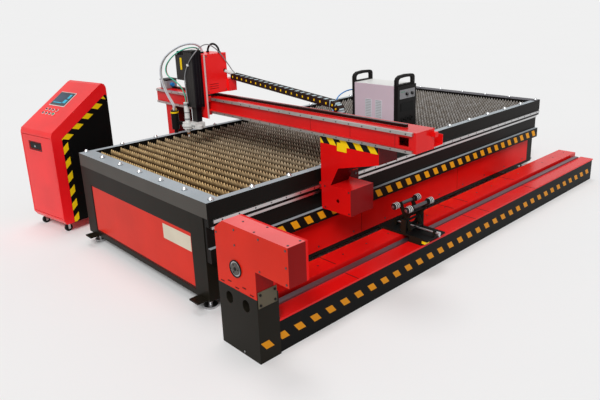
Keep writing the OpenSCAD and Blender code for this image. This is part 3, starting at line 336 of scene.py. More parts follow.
GLASS = sheen("screen_glass", (0.010, 0.012, 0.016), 0.12)
TAUPE = paint("block_plate", (0.095, 0.080, 0.052), 0.40)
NOSE = metal("nose_steel", (0.12, 0.11, 0.10), 0.40)
SEAM = plastic("seam_dark", (0.03, 0.002, 0.002), 0.6)
SLOT = plastic("slot_red", (0.34, 0.004, 0.004), 0.6)
# Pale pink painted highlight for the carriage plate's edge
EDGE_HIGHLIGHT = paint("plate_edge_highlight", (0.74, 0.54, 0.53), 0.34)

NODE_LOOKS = {
    RED: ("rotary_covers", "gantry_beam", "chain_trough"),
    PANEL_RED: ("body_panels",),
    HOUSING_RED: ("headstock_housing",),
    COLUMN_RED: ("gantry_columns",),
    MOTOR_RED: ("motor_boxes",),
    CABINET_RED: ("cabinet_body", "cabinet_door"),
    LIT_COVER_RED: ("carriage_plate", "carriage_cover"),
    DARK: ("table_frame", "slat_tray", "rotary_motor"),
    BLACK: ("rotary_bed", "roller_base", "arm_a", "arm_b", "cabinet_sides"),
    BEARING: ("headstock_block",),
    LIFTER: ("lifter_body", "lift_slide"),
    RIM: ("rail_beams",),
    RIM_END: ("rim_ends",),
    STEEL: ("levelling_feet", "spindle", "jaw_1", "jaw_2", "jaw_3", "motor_pulley", "lift_screw",
            "caster_forks", "y_pinions", "x_pinion"),
    RAIL: ("rails_and_racks",),
    BEAM_RAIL: ("x_rails",),
    GUIDE: ("rotary_guide",),
    DARK_STEEL: ("chuck_body", "roller_a", "roller_b"),
    CHROME: ("rim_cap_nuts",),
    RUST: ("slats",),
    RUBBER: ("drive_belt", "front_wheels", "rear_wheels"),
    PLASTIC: ("psu_ends", "psu_knob_1", "psu_knob_2", "door_latch", "aux_torch"),
    CHAIN: ("drag_chain", "chain_bend"),
    LILAC: ("psu_case",),
    GLASS: ("screen",),
    GREEN: ("start_button", "torch_hoses"),
    LAMP_RED: ("stop_button",),
    WHITE: ("torch_clamp", "torch"),
    BLUE: ("air_hose",),
}

# Edge rounding in metres, and the sheet-metal and cast nodes that have it
NODE_ROUNDING = {
    0.002: ("carriage_plate",),
    0.003: ("headstock_housing", "headstock_block", "rotary_covers", "rotary_bed", "rail_beams", "rim_ends",
            "lifter_body", "roller_base", "arm_a", "arm_b"),
    0.004: ("gantry_beam", "table_frame", "cabinet_body", "carriage_cover", "torch_clamp"),
    0.005: ("gantry_columns",),
    0.006: ("motor_boxes", "psu_ends"),
    0.010: ("psu_case",),
}


def round_edges(obj, width):
    modifier = obj.modifiers.new("rounding", "BEVEL")
    modifier.width = width
    modifier.segments = 2
    modifier.limit_method = "ANGLE"
    modifier.angle_limit = math.radians(50)


def dress_nodes():
    for material, names in NODE_LOOKS.items():
        for name in names:
            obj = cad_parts[name]
            if not obj.material_slots:
                obj.data.materials.append(material)
            for slot in obj.material_slots:
                slot.material = material
    for width, names in NODE_ROUNDING.items():
        for name in names:
            round_edges(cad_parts[name], width)


dress_nodes()


# Shapes: a Shape gathers closed solids that become one piece

RIGHT = (1, 0, 0)
FRONT = (0, -1, 0)
BACK = (0, 1, 0)
UP = (0, 0, 1)

# How far fasteners and trim sink into the faces that they stand on
SINK = 0.0005
SEAT = 0.001

# Fasteners: how far they sink in and stand out, their radius and their number of sides
RAIL_BOLT = (SINK, 0.0008, 0.0055, 12)
BEAM_BOLT = (SINK, 0.0006, 0.0050, 12)
PANEL_SCREW = (SINK, 0.0015, 0.007, 14)
CASE_SCREW = (SEAT, 0.002, 0.006, 14)
DECK_SCREW = (SEAT, 0.0012, 0.006, 12)
BLOCK_BOLT = (SEAT, 0.005, 0.007, 6)
FLOOR_BOLT = (SEAT, 0.003, 0.006, 6)
COLUMN_BOLT = (SEAT, 0.005, 0.008, 6)
BASE_BOLT = (SINK, 0.008, 0.010, 6)
ROLLER_CAP = (SINK, 0.003, 0.010, 6)
CHUCK_KEY = (0.0015, 0.0015, 0.011, 20)
SOURCE_LIGHT = (0, 0.002, 0.003, 12)
COVER_FRONT_BOLT = (SEAT, 0.001, 0.005, 12)
COVER_SIDE_BOLT = (SEAT, 0.0015, 0.005, 12)
CLAMP_SCREW = (SINK, 0.007, 0.007, 6)


def unit_circle(sides):
    angles = [2 * math.pi * k / sides for k in range(sides)]
    return [(math.cos(angle), math.sin(angle)) for angle in angles]


def band(first, second, count):
    """Faces between two loops of points, whose first points have these numbers."""
    return [[first + k, first + (k + 1) % count, second + (k + 1) % count, second + k] for k in range(count)]


class Shape:
    def __init__(self, at=None):
        self.at = at or Matrix.Identity(4)
        self.verts = []
        self.faces = []

    def add(self, verts, faces):
        start = len(self.verts)
        self.verts += [self.at @ Vector(v) for v in verts]
        self.faces += [[start + i for i in face] for face in faces]
        return self

    def box(self, low, high):
        outline = [(low[0], low[1]), (high[0], low[1]), (high[0], high[1]), (low[0], high[1])]
        return self.prism(outline, low[2], high[2])

    def slab(self, x, y, z):
        return self.box(*zip(x, y, z))

    def prism(self, outline, low, high, turn=None):
        turn = turn or Matrix.Identity(4)
        n = len(outline)
        verts = [turn @ Vector((x, y, z)) for z in (low, high) for x, y in outline]
        return self.add(verts, [list(range(n))[::-1], list(range(n, 2 * n))] + band(0, n, n))

    def rod(self, start, end, radius, sides=20, end_radius=None):
        end_radius = radius if end_radius is None else end_radius
        turn = frame_along(Vector(start), Vector(end))
        length = (Vector(end) - Vector(start)).length
        circle = unit_circle(sides)
        verts = [turn @ Vector((x * radius, y * radius, 0)) for x, y in circle]
        verts += [turn @ Vector((x * end_radius, y * end_radius, length)) for x, y in circle]
        caps = [list(range(sides))[::-1], list(range(sides, 2 * sides))]
        return self.add(verts, caps + band(0, sides, sides))

    def stud(self, at, out, fastener):
        """Short rod on a face: sunk into it and standing out of it."""
        sink, proud, radius, sides = fastener
        at, out = Vector(at), Vector(out)
        return self.rod(at - sink * out, at + proud * out, radius, sides)

    def ring(self, start, end, inner, outer, sides=32):
        turn = frame_along(Vector(start), Vector(end))
        length = (Vector(end) - Vector(start)).length
        circle = unit_circle(sides)
        loops = [(inner, 0), (outer, 0), (outer, length), (inner, length)]
        verts = [turn @ Vector((x * r, y * r, z)) for r, z in loops for x, y in circle]
        faces = []
        for loop in range(4):
            faces += band(loop * sides, (loop + 1) % 4 * sides, sides)
        return self.add(verts, [face[::-1] for face in faces])


def frame_along(start, end):
    turn = (end - start).to_track_quat("Z", "Y").to_matrix().to_4x4()
    return Matrix.Translation(start) @ turn


def mesh_object(name, verts, faces, material, smooth):
    mesh = bpy.data.meshes.new(name)
    mesh.from_pydata([tuple(v) for v in verts], [], faces)
    work = bmesh.new()
    work.from_mesh(mesh)
    bmesh.ops.recalc_face_normals(work, faces=work.faces)
    work.to_mesh(mesh)
    work.free()
    mesh.materials.append(material)
    if smooth:
        mesh.shade_smooth()
        mesh.set_sharp_from_angle(angle=math.radians(35))
    obj = bpy.data.objects.new(name, mesh)
    bpy.context.scene.collection.objects.link(obj)
    return obj


def piece(name, shape, material, body, rounding=0.0):
    obj = mesh_object(name, shape.verts, shape.faces, material, smooth=True)
    if rounding:
        round_edges(obj, rounding)
    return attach(obj, body)


def fasten(name, places, out, fastener, material, body):
    shape = Shape()
    for place in places:
        shape.stud(place, out, fastener)
    return piece(name, shape, material, body)


def around(middle, half):
    return middle - half, middle + half


def evenly(low, high, margin, count):
    """Evenly spaced places between two ends, a margin away from both."""
    return [low + margin + (high - low - 2 * margin) * i / (count - 1) for i in range(count)]


# Hoses: the routes repeat the solids' own points, in metres

ROUTE_STEPS = 5
TORCH_HOSE_RADIUS = 0.004
AUX_HOSE_RADIUS = 0.006
HOSE_SPACING = 0.014
AIR_RADIUS = 0.005
LEAD_RADIUS = 0.004
CONDUIT_RADIUS = 0.008
TORCH_ROUTE = [
    (-0.470, -1.085, 1.3944), (-0.470, -1.085, 1.412), (-0.472, -1.100, 1.430), (-0.484, -1.136, 1.438),
    (-0.512, -1.186, 1.430), (-0.550, -1.242, 1.400), (-0.590, -1.276, 1.356), (-0.618, -1.294, 1.312),
    (-0.626, -1.300, 1.270), (-0.604, -1.302, 1.236), (-0.558, -1.300, 1.214), (-0.504, -1.295, 1.192),
    (-0.456, -1.285, 1.158), (-0.433, -1.275, 1.112), (-0.4265, -1.269, 1.066), (-0.4265, -1.269, 1.0366)]
AUX_ROUTE = [
    (-0.434, -1.085, 1.3944), (-0.434, -1.085, 1.420), (-0.438, -1.100, 1.448), (-0.462, -1.140, 1.468),
    (-0.508, -1.196, 1.462), (-0.556, -1.254, 1.430), (-0.606, -1.298, 1.382), (-0.646, -1.322, 1.318),
    (-0.658, -1.330, 1.250), (-0.654, -1.324, 1.180), (-0.643, -1.309, 1.110), (-0.628, -1.288, 1.044),
    (-0.6135, -1.270, 0.996), (-0.6125, -1.269, 0.974), (-0.6125, -1.269, 0.9526)]
AIR_ROUTE = [
    (0.640, -0.8534, 0.985), (0.640, -0.838, 0.985), (0.632, -0.806, 0.978), (0.590, -0.735, 0.962),
    (0.470, -0.580, 0.944), (0.310, -0.385, 0.944), (0.170, -0.215, 0.958), (0.090, -0.090, 0.974),
    (0.052, 0.020, 0.987), (0.042, 0.100, 0.990), (0.054, 0.152, 0.988), (0.078, 0.170, 0.986),
    (0.096, 0.170, 0.986)]
LEAD_ROUTE = [
    (-0.400, -1.269, 1.028), (-0.400, -1.270, 1.050), (-0.410, -1.268, 1.120), (-0.430, -1.260, 1.190),
    (-0.426, -1.254, 1.256), (-0.383, -1.2535, 1.320), (-0.334, -1.252, 1.372), (-0.304, -1.234, 1.412),
    (-0.298, -1.200, 1.444), (-0.298, -1.150, 1.466), (-0.298, -1.100, 1.462), (-0.297, -1.040, 1.424),
    (-0.296, -0.980, 1.356), (-0.294, -0.934, 1.292), (-0.286, -0.910, 1.250), (-0.268, -0.902, 1.2325)]
CONDUIT_ROUTE = [
    (-0.452, -1.015, 1.3925), (-0.443, -1.014, 1.426), (-0.4185, -1.011, 1.4505), (-0.385, -1.008, 1.4595),
    (-0.3515, -1.004, 1.4505), (-0.327, -1.001, 1.426), (-0.318, -1.000, 1.3925)]

FITTING_BACK = -0.8545
FITTING_FRONT = -0.8375
FITTING_RADIUS = 0.0090
FITTING_GAP = 0.0005


def between(a, b, c, d, t):
    """Point of a Catmull-Rom curve between b and c."""
    square = (2 * a - 5 * b + 4 * c - d) * t ** 2
    cube = (3 * b - a - 3 * c + d) * t ** 3
    return 0.5 * (2 * b + (c - a) * t + square + cube)


def route(points):
    p = [Vector(point) for point in points]
    last = len(p) - 1
    line = []
    for i in range(last):
        ends = (p[max(i - 1, 0)], p[i], p[i + 1], p[min(i + 2, last)])
        line += [between(*ends, k / ROUTE_STEPS) for k in range(ROUTE_STEPS)]
    return line + [p[last]]


def headings(line):
    last = len(line) - 1
    return [(line[min(i + 1, last)] - line[max(i - 1, 0)]).normalized() for i in range(last + 1)]


def sides_of(line, side):
    normals = []
    normal = Vector(side)
    for heading in headings(line):
        normal = (normal - heading * normal.dot(heading)).normalized()
        normals.append(normal)
    return normals


def hose(name, points, radius, side, shift, material, sides=14):
    middle = route(points)
    normals = sides_of(middle, side)
    path = [point + shift * normal for point, normal in zip(middle, normals)]
    verts = []
    for point, heading, normal in zip(path, headings(middle), normals):
        other = heading.cross(normal)
        verts += [point + radius * (x * normal + y * other) for x, y in unit_circle(sides)]
    faces = []
    for i in range(len(path) - 1):
        faces += band(i * sides, (i + 1) * sides, sides)
    last = (len(path) - 1) * sides
    faces += [list(range(sides))[::-1], [last + k for k in range(sides)]]
    return mesh_object(name, verts, faces, material, smooth=True), path


def torch_hose(name, points, radius, shift, material):
    obj, path = hose(name, points, radius, RIGHT, shift, material)
    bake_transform(obj)
    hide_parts("torch_hoses")


def air_hose():
    obj, path = hose("hose_blue", AIR_ROUTE, AIR_RADIUS, UP, 0, BLUE)
    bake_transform(obj)
    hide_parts("air_hose")
    x, _, z = AIR_ROUTE[0]
    inner = AIR_RADIUS + FITTING_GAP
    fitting = Shape().ring((x, FITTING_BACK, z), (x, FITTING_FRONT, z), inner, FITTING_RADIUS, 24)
    piece("air_fitting", fitting, PLASTIC, "gantry")


def torch_lead():
    obj, path = hose("torch_lead", LEAD_ROUTE, LEAD_RADIUS, RIGHT, 0, GREY)
    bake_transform(obj)


def cover_conduit():
    obj, path = hose("cover_conduit", CONDUIT_ROUTE, CONDUIT_RADIUS, BACK, 0, PLASTIC)
    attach(obj, "carriage")


def make_hoses():
    torch_hose("hose_red", TORCH_ROUTE, TORCH_HOSE_RADIUS, -HOSE_SPACING / 2, LAMP_RED)
    torch_hose("hose_green", TORCH_ROUTE, TORCH_HOSE_RADIUS, HOSE_SPACING / 2, MINT)
    torch_hose("hose_white", AUX_ROUTE, AUX_HOSE_RADIUS, -HOSE_SPACING / 2, WHITE)
    torch_hose("hose_clear", AUX_ROUTE, AUX_HOSE_RADIUS, HOSE_SPACING / 2, PALE)
    air_hose()
    torch_lead()
    cover_conduit()


make_hoses()


# Warning tape without words: slanted patches on a face

def patches(shape, turn, length, width, pitch, patch, slant, start=0.0, thickness=0.0006):
    """Adds slanted patches along the turned X axis, cut at both ends of the strip."""
    position = start
    while position < length:
        end = position + patch
        corners = [(position, 0), (end, 0), (end + slant, width), (position + slant, width)]
        outline = cut_strip(corners, 0, length)
        if len(outline) > 2:
            shape.prism(outline, 0, thickness, turn)
        position += pitch


def cut_strip(corners, low, high):
    for limit, keep in ((low, 1), (high, -1)):
        kept = []
        for (ax, ay), (bx, by) in zip(corners, corners[1:] + corners[:1]):
            inside_a = keep * (ax - limit) >= 0
            inside_b = keep * (bx - limit) >= 0
            if inside_a:
                kept.append((ax, ay))
            if inside_a != inside_b:
                t = (limit - ax) / (bx - ax)
                kept.append((limit, ay + t * (by - ay)))
        corners = kept
        if not corners:
            return []
    return corners


def plane(origin, along, across):
    """Places a flat shape: its X runs along, its Y across, its Z out of the face."""
    along = Vector(along).normalized()
    across = Vector(across).normalized()
    out = along.cross(across)
    return Matrix.Translation(Vector(origin)) @ Matrix((along, across, out)).transposed().to_4x4()


LONG_TAPE = {"pitch": 0.1197, "patch": 0.054, "slant": -0.034}
LIP_LOW, LIP_HIGH = 0.352, 0.408
LIP_NEAR_MARGIN = 0.05
LIP_FAR_MARGIN = 0.02
LEFT_LIP_SHORTER = 0.12
SIDE_LOW, SIDE_HIGH = 0.072, 0.118
BED_TAPE_START = 0.018
BED_TAPE_SHORTER = 0.06
BLOCK_FACE = 1.415
BLOCK_TAPE_START = 0.042
BLOCK_TAPE_LONG = 0.134


def tape(shape, corner, along, length, width, start=0.0):
    patches(shape, plane(corner, along, UP), length, width, start=start, **LONG_TAPE)


def make_tape():
    rail_low, rail_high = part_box("rail_beams")
    bed_low, bed_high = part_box("rotary_bed")
    block_low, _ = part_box("headstock_block")
    near, far = rail_low.y + LIP_NEAR_MARGIN, rail_high.y - LIP_FAR_MARGIN
    width = LIP_HIGH - LIP_LOW
    lips = Shape()
    tape(lips, (rail_high.x, near, LIP_LOW), BACK, far - near, width)
    tape(lips, (rail_low.x, far, LIP_LOW), FRONT, far - near - LEFT_LIP_SHORTER, width)
    piece("lip_tape", lips, ORANGE, "table")
    width = SIDE_HIGH - SIDE_LOW
    length = bed_high.y - bed_low.y - BED_TAPE_SHORTER
    sides = Shape()
    tape(sides, (bed_high.x, bed_low.y, SIDE_LOW), BACK, length, width, BED_TAPE_START)
    tape(sides, (BLOCK_FACE, block_low.y, SIDE_LOW), BACK, BLOCK_TAPE_LONG, width, BLOCK_TAPE_START)
    piece("side_tape", sides, AMBER, "table")


make_tape()


# Bed

PANEL_FACE = -1.986
PLATE_X = (0.325, 0.645)
PLATE_Z = (0.352, 0.452)
PLATE_THICK = 0.002
BORDER_X = (-0.705, 0.655)
BORDER_Z = (0.118, 0.480)
BORDER_HALF = 0.004
BORDER_THICK = 0.0015
RAIL_BOLT_COUNT = 32
RAIL_BOLT_MARGIN = 0.06
RAIL_BOLT_DROP = 0.010
PANEL_SCREWS_Y = [-1.8 + 0.36 * i for i in range(11)]
PANEL_SCREW_RISE = 0.03
PANEL_SCREW_TOP = 0.310


def make_bed():
    plate = Shape().slab(PLATE_X, (PANEL_FACE - PLATE_THICK, PANEL_FACE), PLATE_Z)
    piece("blank_plate", plate, CREAM, "table")
    border = Shape()
    depth = (PANEL_FACE - BORDER_THICK, PANEL_FACE)
    for z in BORDER_Z:
        border.slab(BORDER_X, depth, around(z, BORDER_HALF))
    for x in BORDER_X:
        border.slab(around(x, BORDER_HALF), depth, BORDER_Z)
    piece("panel_border", border, TAPE_BLACK, "table")
    low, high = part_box("rails_and_racks")
    places = evenly(low.y, high.y, RAIL_BOLT_MARGIN, RAIL_BOLT_COUNT)
    bolts = [(high.x, y, high.z - RAIL_BOLT_DROP) for y in places]
    fasten("rail_bolts", bolts, RIGHT, RAIL_BOLT, DARK_STEEL, "table")
    low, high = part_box("body_panels")
    rows = (low.z + PANEL_SCREW_RISE, PANEL_SCREW_TOP)
    screws = [(high.x, y, z) for y in PANEL_SCREWS_Y for z in rows]
    fasten("panel_screws", screws, RIGHT, PANEL_SCREW, DARK_STEEL, "table")


make_bed()


# Rotary unit

SPINDLE_X, SPINDLE_Z = 1.257, 0.490
HOUSE_FRONT = -2.107
HOUSE_TOP = 0.727
FRONT_SCREWS = ((1.261, 0.703), (1.259, 0.620), (1.454, 0.707), (1.648, 0.708), (1.648, 0.623),
                (1.648, 0.537), (1.451, 0.537), (1.105, 0.650))
TOP_SCREWS = ((1.257, -2.042), (1.407, -2.092), (1.407, -2.008), (1.646, -2.088), (1.646, -2.012))
HOUSE_SLOTS = ((1.116, 0.381), (1.179, 0.401), (1.241, 0.381), (1.302, 0.401), (1.362, 0.381))
HOUSE_SLOT_LONG = 0.030
HOUSE_SLOT_HALF = 0.003
DISC_BACK, DISC_FRONT = -2.1105, -2.1135
HUB_BACK, HUB_FRONT = -2.1130, -2.1155
HUB_SCREW_FRONT = -2.1145
HUB_SCREW_CIRCLE = 0.023
BLOCK_PLATE_Y = (-2.101, -1.979)
BLOCK_PLATE_Z = (0.318, 0.408)
BLOCK_PLATE_FACE = BLOCK_FACE + 0.004
BLOCK_BOLTS_Y = (-2.088, -1.993)
BLOCK_BOLTS_Z = (0.334, 0.392)
FOOT_BOLT_AT = (1.285, HOUSE_FRONT, 0.020)


def on_spindle(y):
    return SPINDLE_X, y, SPINDLE_Z


def make_housing():
    screws = Shape()
    for x, z in FRONT_SCREWS:
        screws.stud((x, HOUSE_FRONT, z), FRONT, CASE_SCREW)
    for x, y in TOP_SCREWS:
        screws.stud((x, y, HOUSE_TOP), UP, CASE_SCREW)
    piece("housing_screws", screws, DARK_STEEL, "table")
    slots = Shape()
    for x, z in HOUSE_SLOTS:
        slots.slab((x, x + HOUSE_SLOT_LONG), (HOUSE_FRONT - 0.0008, HOUSE_FRONT), around(z, HOUSE_SLOT_HALF))
    piece("housing_slots", slots, SEAM, "table")


def make_nose():
    ring = Shape().ring(on_spindle(HOUSE_FRONT + SEAT), on_spindle(HOUSE_FRONT - 0.007), 0.0435, 0.0470)
    piece("nose_ring", ring, PLASTIC, "table")
    disc = Shape().rod(on_spindle(DISC_BACK), on_spindle(DISC_FRONT), 0.034, 32)
    piece("nose_disc", disc, NOSE, "spindle")
    hub = Shape().rod(on_spindle(HUB_BACK), on_spindle(HUB_FRONT), 0.010, 20)
    for cosine, sine in unit_circle(3):
        x, z = SPINDLE_X + HUB_SCREW_CIRCLE * cosine, SPINDLE_Z + HUB_SCREW_CIRCLE * sine
        hub.rod((x, HUB_BACK, z), (x, HUB_SCREW_FRONT, z), 0.004, 12)
    piece("nose_hub", hub, TAPE_BLACK, "spindle")


def make_block():
    plate = Shape().slab((BLOCK_FACE, BLOCK_PLATE_FACE), BLOCK_PLATE_Y, BLOCK_PLATE_Z)
    piece("block_plate", plate, TAUPE, "table", 0.001)
    bolts = [(BLOCK_PLATE_FACE, y, z) for y in BLOCK_BOLTS_Y for z in BLOCK_BOLTS_Z]
    fasten("block_bolts", bolts, RIGHT, BLOCK_BOLT, PLASTIC, "table")
    fasten("block_foot_bolt", [FOOT_BOLT_AT], FRONT, FLOOR_BOLT, STEEL, "table")


CHUCK_RADIUS = 0.110
CHUCK_GROOVES = (0.060, 0.084)
GROOVE_WIDTH = 0.0025
KEY_ANGLES = [math.radians(30 + 120 * k) for k in range(3)]
KEY_BACK = 0.008


def make_chuck():
    low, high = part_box("chuck_body")
    grooves = Shape()
    for radius in CHUCK_GROOVES:
        outer = radius + GROOVE_WIDTH
        grooves.ring(on_spindle(high.y - SINK), on_spindle(high.y + 0.0004), radius, outer, 48)
    piece("chuck_rings", grooves, STEEL, "spindle")
    keys = Shape()
    middle = Vector(on_spindle((low.y + high.y) / 2 - KEY_BACK))
    for angle in KEY_ANGLES:
        out = Vector((math.cos(angle), 0, math.sin(angle)))
        keys.stud(middle + CHUCK_RADIUS * out, out, CHUCK_KEY)
    piece("chuck_keys", keys, STEEL, "spindle")


SUPPORT_Y = -0.626
ROLLER_OUT = 0.053
ROLLER_Z = 0.434835
ROLLER_END = 0.145
STACK_MIDDLE = 0.116
DISC_PITCH = 0.016
RIM_HALF = 0.0030
RIM_INNER, RIM_OUTER = 0.0205, 0.0224
BASE_THICK = 0.012
STOP_TOP = 0.036
BASE_BOLT_MARGIN_X = 0.03
BASE_BOLT_MARGIN_Y = 0.025


def make_rollers():
    for body, x in (("roller_a", SPINDLE_X + ROLLER_OUT), ("roller_b", SPINDLE_X - ROLLER_OUT)):
        rims = Shape()
        caps = Shape()
        for side in (-1, 1):
            for k in (-1, 0, 1):
                y = SUPPORT_Y + side * STACK_MIDDLE + DISC_PITCH * k
                rims.ring((x, y - RIM_HALF, ROLLER_Z), (x, y + RIM_HALF, ROLLER_Z), RIM_INNER, RIM_OUTER, 28)
            end = (x, SUPPORT_Y + side * ROLLER_END, ROLLER_Z)
            caps.stud(end, (0, side, 0), ROLLER_CAP)
        piece(body + "_rims", rims, WHITE, body)
        piece(body + "_caps", caps, STEEL, body)


def make_support_base():
    low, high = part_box("roller_base")
    block = Shape().slab((high.x - 0.060, high.x - 0.020), (low.y + 0.004, low.y + 0.056),
                         (low.z + BASE_THICK, low.z + STOP_TOP))
    piece("support_stop", block, YELLOW, "roller_support", 0.003)
    columns = evenly(low.x, high.x, BASE_BOLT_MARGIN_X, 2)
    rows = evenly(low.y, high.y, BASE_BOLT_MARGIN_Y, 2)
    bolts = [(x, y, low.z + BASE_THICK) for x in columns for y in rows]
    fasten("support_bolts", bolts, UP, BASE_BOLT, STEEL, "roller_support")


DECK_SEAMS = (-1.35, -0.08, 0.11, 0.826)
SEAM_HALF = 0.003
DECK_EDGE = 1.302
DECK_TOP = 0.202
RAISED_EDGE = 1.228
DECK_SCREW_X = 1.165
DECK_SCREW_COUNT = 18
DECK_SCREW_MARGIN = 0.08


def make_rotary_deck():
    low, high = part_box("rotary_covers")
    seams = Shape()
    for y in DECK_SEAMS:
        seams.slab((DECK_EDGE, high.x - 0.001), around(y, SEAM_HALF), (DECK_TOP, DECK_TOP + 0.0005))
        seams.slab((low.x + 0.002, RAISED_EDGE), around(y, SEAM_HALF), (high.z, high.z + 0.0005))
    piece("deck_seams", seams, SEAM, "table")
    places = evenly(low.y, high.y, DECK_SCREW_MARGIN, DECK_SCREW_COUNT)
    fasten("cover_screws", [(DECK_SCREW_X, y, high.z) for y in places], UP, DECK_SCREW, DARK_STEEL, "table")


make_housing()
make_nose()
make_block()
make_chuck()
make_rollers()
make_support_base()
make_rotary_deck()


# Power source

SOURCE_FRONT = 0.5875
VENTS_X = (0.240, 0.350)
VENT_WIDE = 0.070
VENT_Z = (0.786, 0.940)
LOUVRE_COUNT = 11
LOUVRE_START = 0.797
LOUVRE_PITCH = 0.0135
LOUVRE_HIGH = 0.003
LOUVRE_MARGIN = 0.006
PANEL_Y = (0.085, 0.282)
PANEL_Z = (0.962, 1.036)
LIGHTS_Y = (0.104, 0.117, 0.130, 0.143)
LIGHT_Z = 1.018
SOCKETS_Y = (0.125, 0.180, 0.235)
SOCKET_Z = 0.790
GRILLE_Y = (0.100, 0.262)
GRILLE_Z = (0.860, 0.925)
KNOBS_Y = (0.1704, 0.240)
MARK_X = (0.6022, 0.6030)
MARK_Z = (0.999, 1.008)


def make_vents(low, high):
    vents = Shape()
    louvres = Shape()
    for x in VENTS_X:
        for face, out in ((low.y, -1), (high.y, 1)):
            vents.slab((x, x + VENT_WIDE), sorted((face, face + out * 0.0015)), VENT_Z)
            depth = sorted((face + out * 0.0012, face + out * 0.0024))
            for i in range(LOUVRE_COUNT):
                z = LOUVRE_START + LOUVRE_PITCH * i
                width = (x + LOUVRE_MARGIN, x + VENT_WIDE - LOUVRE_MARGIN)
                louvres.slab(width, depth, (z, z + LOUVRE_HIGH))
    piece("source_vents", vents, PALE, "table", 0.001)
    piece("source_louvres", louvres, GREY, "table")


def make_source_front():
    panel = Shape().slab((SOURCE_FRONT, SOURCE_FRONT + 0.0008), PANEL_Y, PANEL_Z)
    piece("source_panel", panel, GREY, "table")
    lights = [(SOURCE_FRONT, y, LIGHT_Z) for y in LIGHTS_Y]
    fasten("source_lights", lights, RIGHT, SOURCE_LIGHT, GREEN, "table")
    sockets = Shape()
    back = SOURCE_FRONT - SEAT
    for y in SOCKETS_Y:
        sockets.ring((back, y, SOCKET_Z), (SOURCE_FRONT + 0.010, y, SOCKET_Z), 0.013, 0.019, 24)
    sockets.slab((back, SOURCE_FRONT + 0.004), GRILLE_Y, GRILLE_Z)
    piece("source_sockets", sockets, RUBBER, "table")
    for number, y in enumerate(KNOBS_Y, 1):
        mark = Shape().slab(MARK_X, around(y, 0.001), MARK_Z)
        piece("knob_%d_mark" % number, mark, WHITE, "psu_knob_%d" % number)


def make_power_source():
    low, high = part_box("psu_case")
    top = Shape().slab((low.x + 0.001, high.x - 0.001), (low.y + 0.004, high.y - 0.004),
                       (high.z, high.z + 0.0015))
    piece("source_top", top, WHITE, "table")
    make_vents(low, high)
    make_source_front()


make_power_source()


# Cabinet: its own turned frame, and the sloped control face on it

CABINET_AT = Vector((-1.557, -2.164, 0))
CABINET_TURN = math.radians(9)
CABINET_WIDTH = 0.465
SLOPE_START = Vector((0, 0.012, 0.842))
SLOPE_ANGLE = math.atan2(0.310, 0.472)
CABINET = Matrix.Translation(CABINET_AT) @ Matrix.Rotation(CABINET_TURN, 4, "Z")
SLOPE = CABINET @ Matrix.Translation(SLOPE_START) @ Matrix.Rotation(SLOPE_ANGLE, 4, "X")
SIDE_INSET = 0.001
BAND_EDGE = 0.090
BAND_LOW, BAND_TOP = 0.080, 0.780
BAND_SLOPE = 0.500
TAPE_WIDTH = 0.045
TAPE_START = -0.02
CABINET_TAPE = {"pitch": 0.118, "patch": 0.060, "slant": 0.036}

# Boxes on the control face: its X, then the way up the slope, then out of it
SCREEN_EDGE = ((0.072, 0.276, 0), (0.296, 0.438, 0.0030))
SCREEN_PICTURE = ((0.090, 0.300, 0.0050), (0.278, 0.420, 0.0056))
SCREEN_FIELDS = (((0.100, 0.308, 0.0056), (0.220, 0.316, 0.0060)),
                 ((0.228, 0.312, 0.0056), (0.270, 0.352, 0.0060)),
                 ((0.240, 0.366, 0.0056), (0.270, 0.412, 0.0060)))
LAMPS_X = (0.100, 0.150, 0.200)
LAMP_ROWS = (0.186, 0.230)
BUTTONS = ((0.252, 0.186), (0.254, 0.230))
FRAME_X = (0.108, 0.297)
FRAME_Z = (0.6730, 0.7460)
FRAME_BARS_Z = ((0.6730, 0.6800), (0.7405, 0.7460))
FRAME_BARS_X = ((0.1080, 0.1140), (0.2910, 0.2970))
FRAME_FRONT = -0.0010
LOCK_X, LOCK_Z = 0.195, 0.706
LOCK_BACK, LOCK_FRONT = 0.0025, 0.0006


def make_cabinet_tape():
    shape = Shape(CABINET)
    rise = math.sin(SLOPE_ANGLE)
    run = math.cos(SLOPE_ANGLE)
    mirror = Matrix.Scale(-1, 4, UP)
    for x, out in ((CABINET_WIDTH - SIDE_INSET, 1), (SIDE_INSET, -1)):
        upright = plane((x, BAND_EDGE, BAND_LOW), UP, BACK)
        slope = plane((x, BAND_EDGE, BAND_TOP), (0, run, rise), (0, rise, -run))
        if out > 0:
            upright = upright @ mirror
            slope = slope @ mirror
        patches(shape, upright, BAND_TOP - BAND_LOW, TAPE_WIDTH, start=TAPE_START, **CABINET_TAPE)
        patches(shape, slope, BAND_SLOPE, TAPE_WIDTH, **CABINET_TAPE)
    piece("cabinet_tape", shape, YELLOW, "table")


def make_controls():
    piece("screen_edge", Shape(SLOPE).box(*SCREEN_EDGE), WHITE, "table", 0.001)
    piece("screen_picture", Shape(SLOPE).box(*SCREEN_PICTURE), PICTURE, "table")
    fields = Shape(SLOPE)
    for low, high in SCREEN_FIELDS:
        fields.box(low, high)
    piece("screen_fields", fields, CYAN, "table")
    lamps = Shape(SLOPE)
    rings = Shape(SLOPE)
    for x in LAMPS_X:
        for s in LAMP_ROWS:
            lamps.rod((x, s, 0), (x, s, 0.005), 0.009, 20)
            rings.ring((x, s, 0), (x, s, 0.003), 0.0092, 0.0135, 24)
    for x, s in BUTTONS:
        rings.ring((x, s, 0), (x, s, 0.003), 0.0110, 0.0150, 24)
    piece("control_lamps", lamps, PLASTIC, "table")
    piece("control_rings", rings, WHITE, "table")


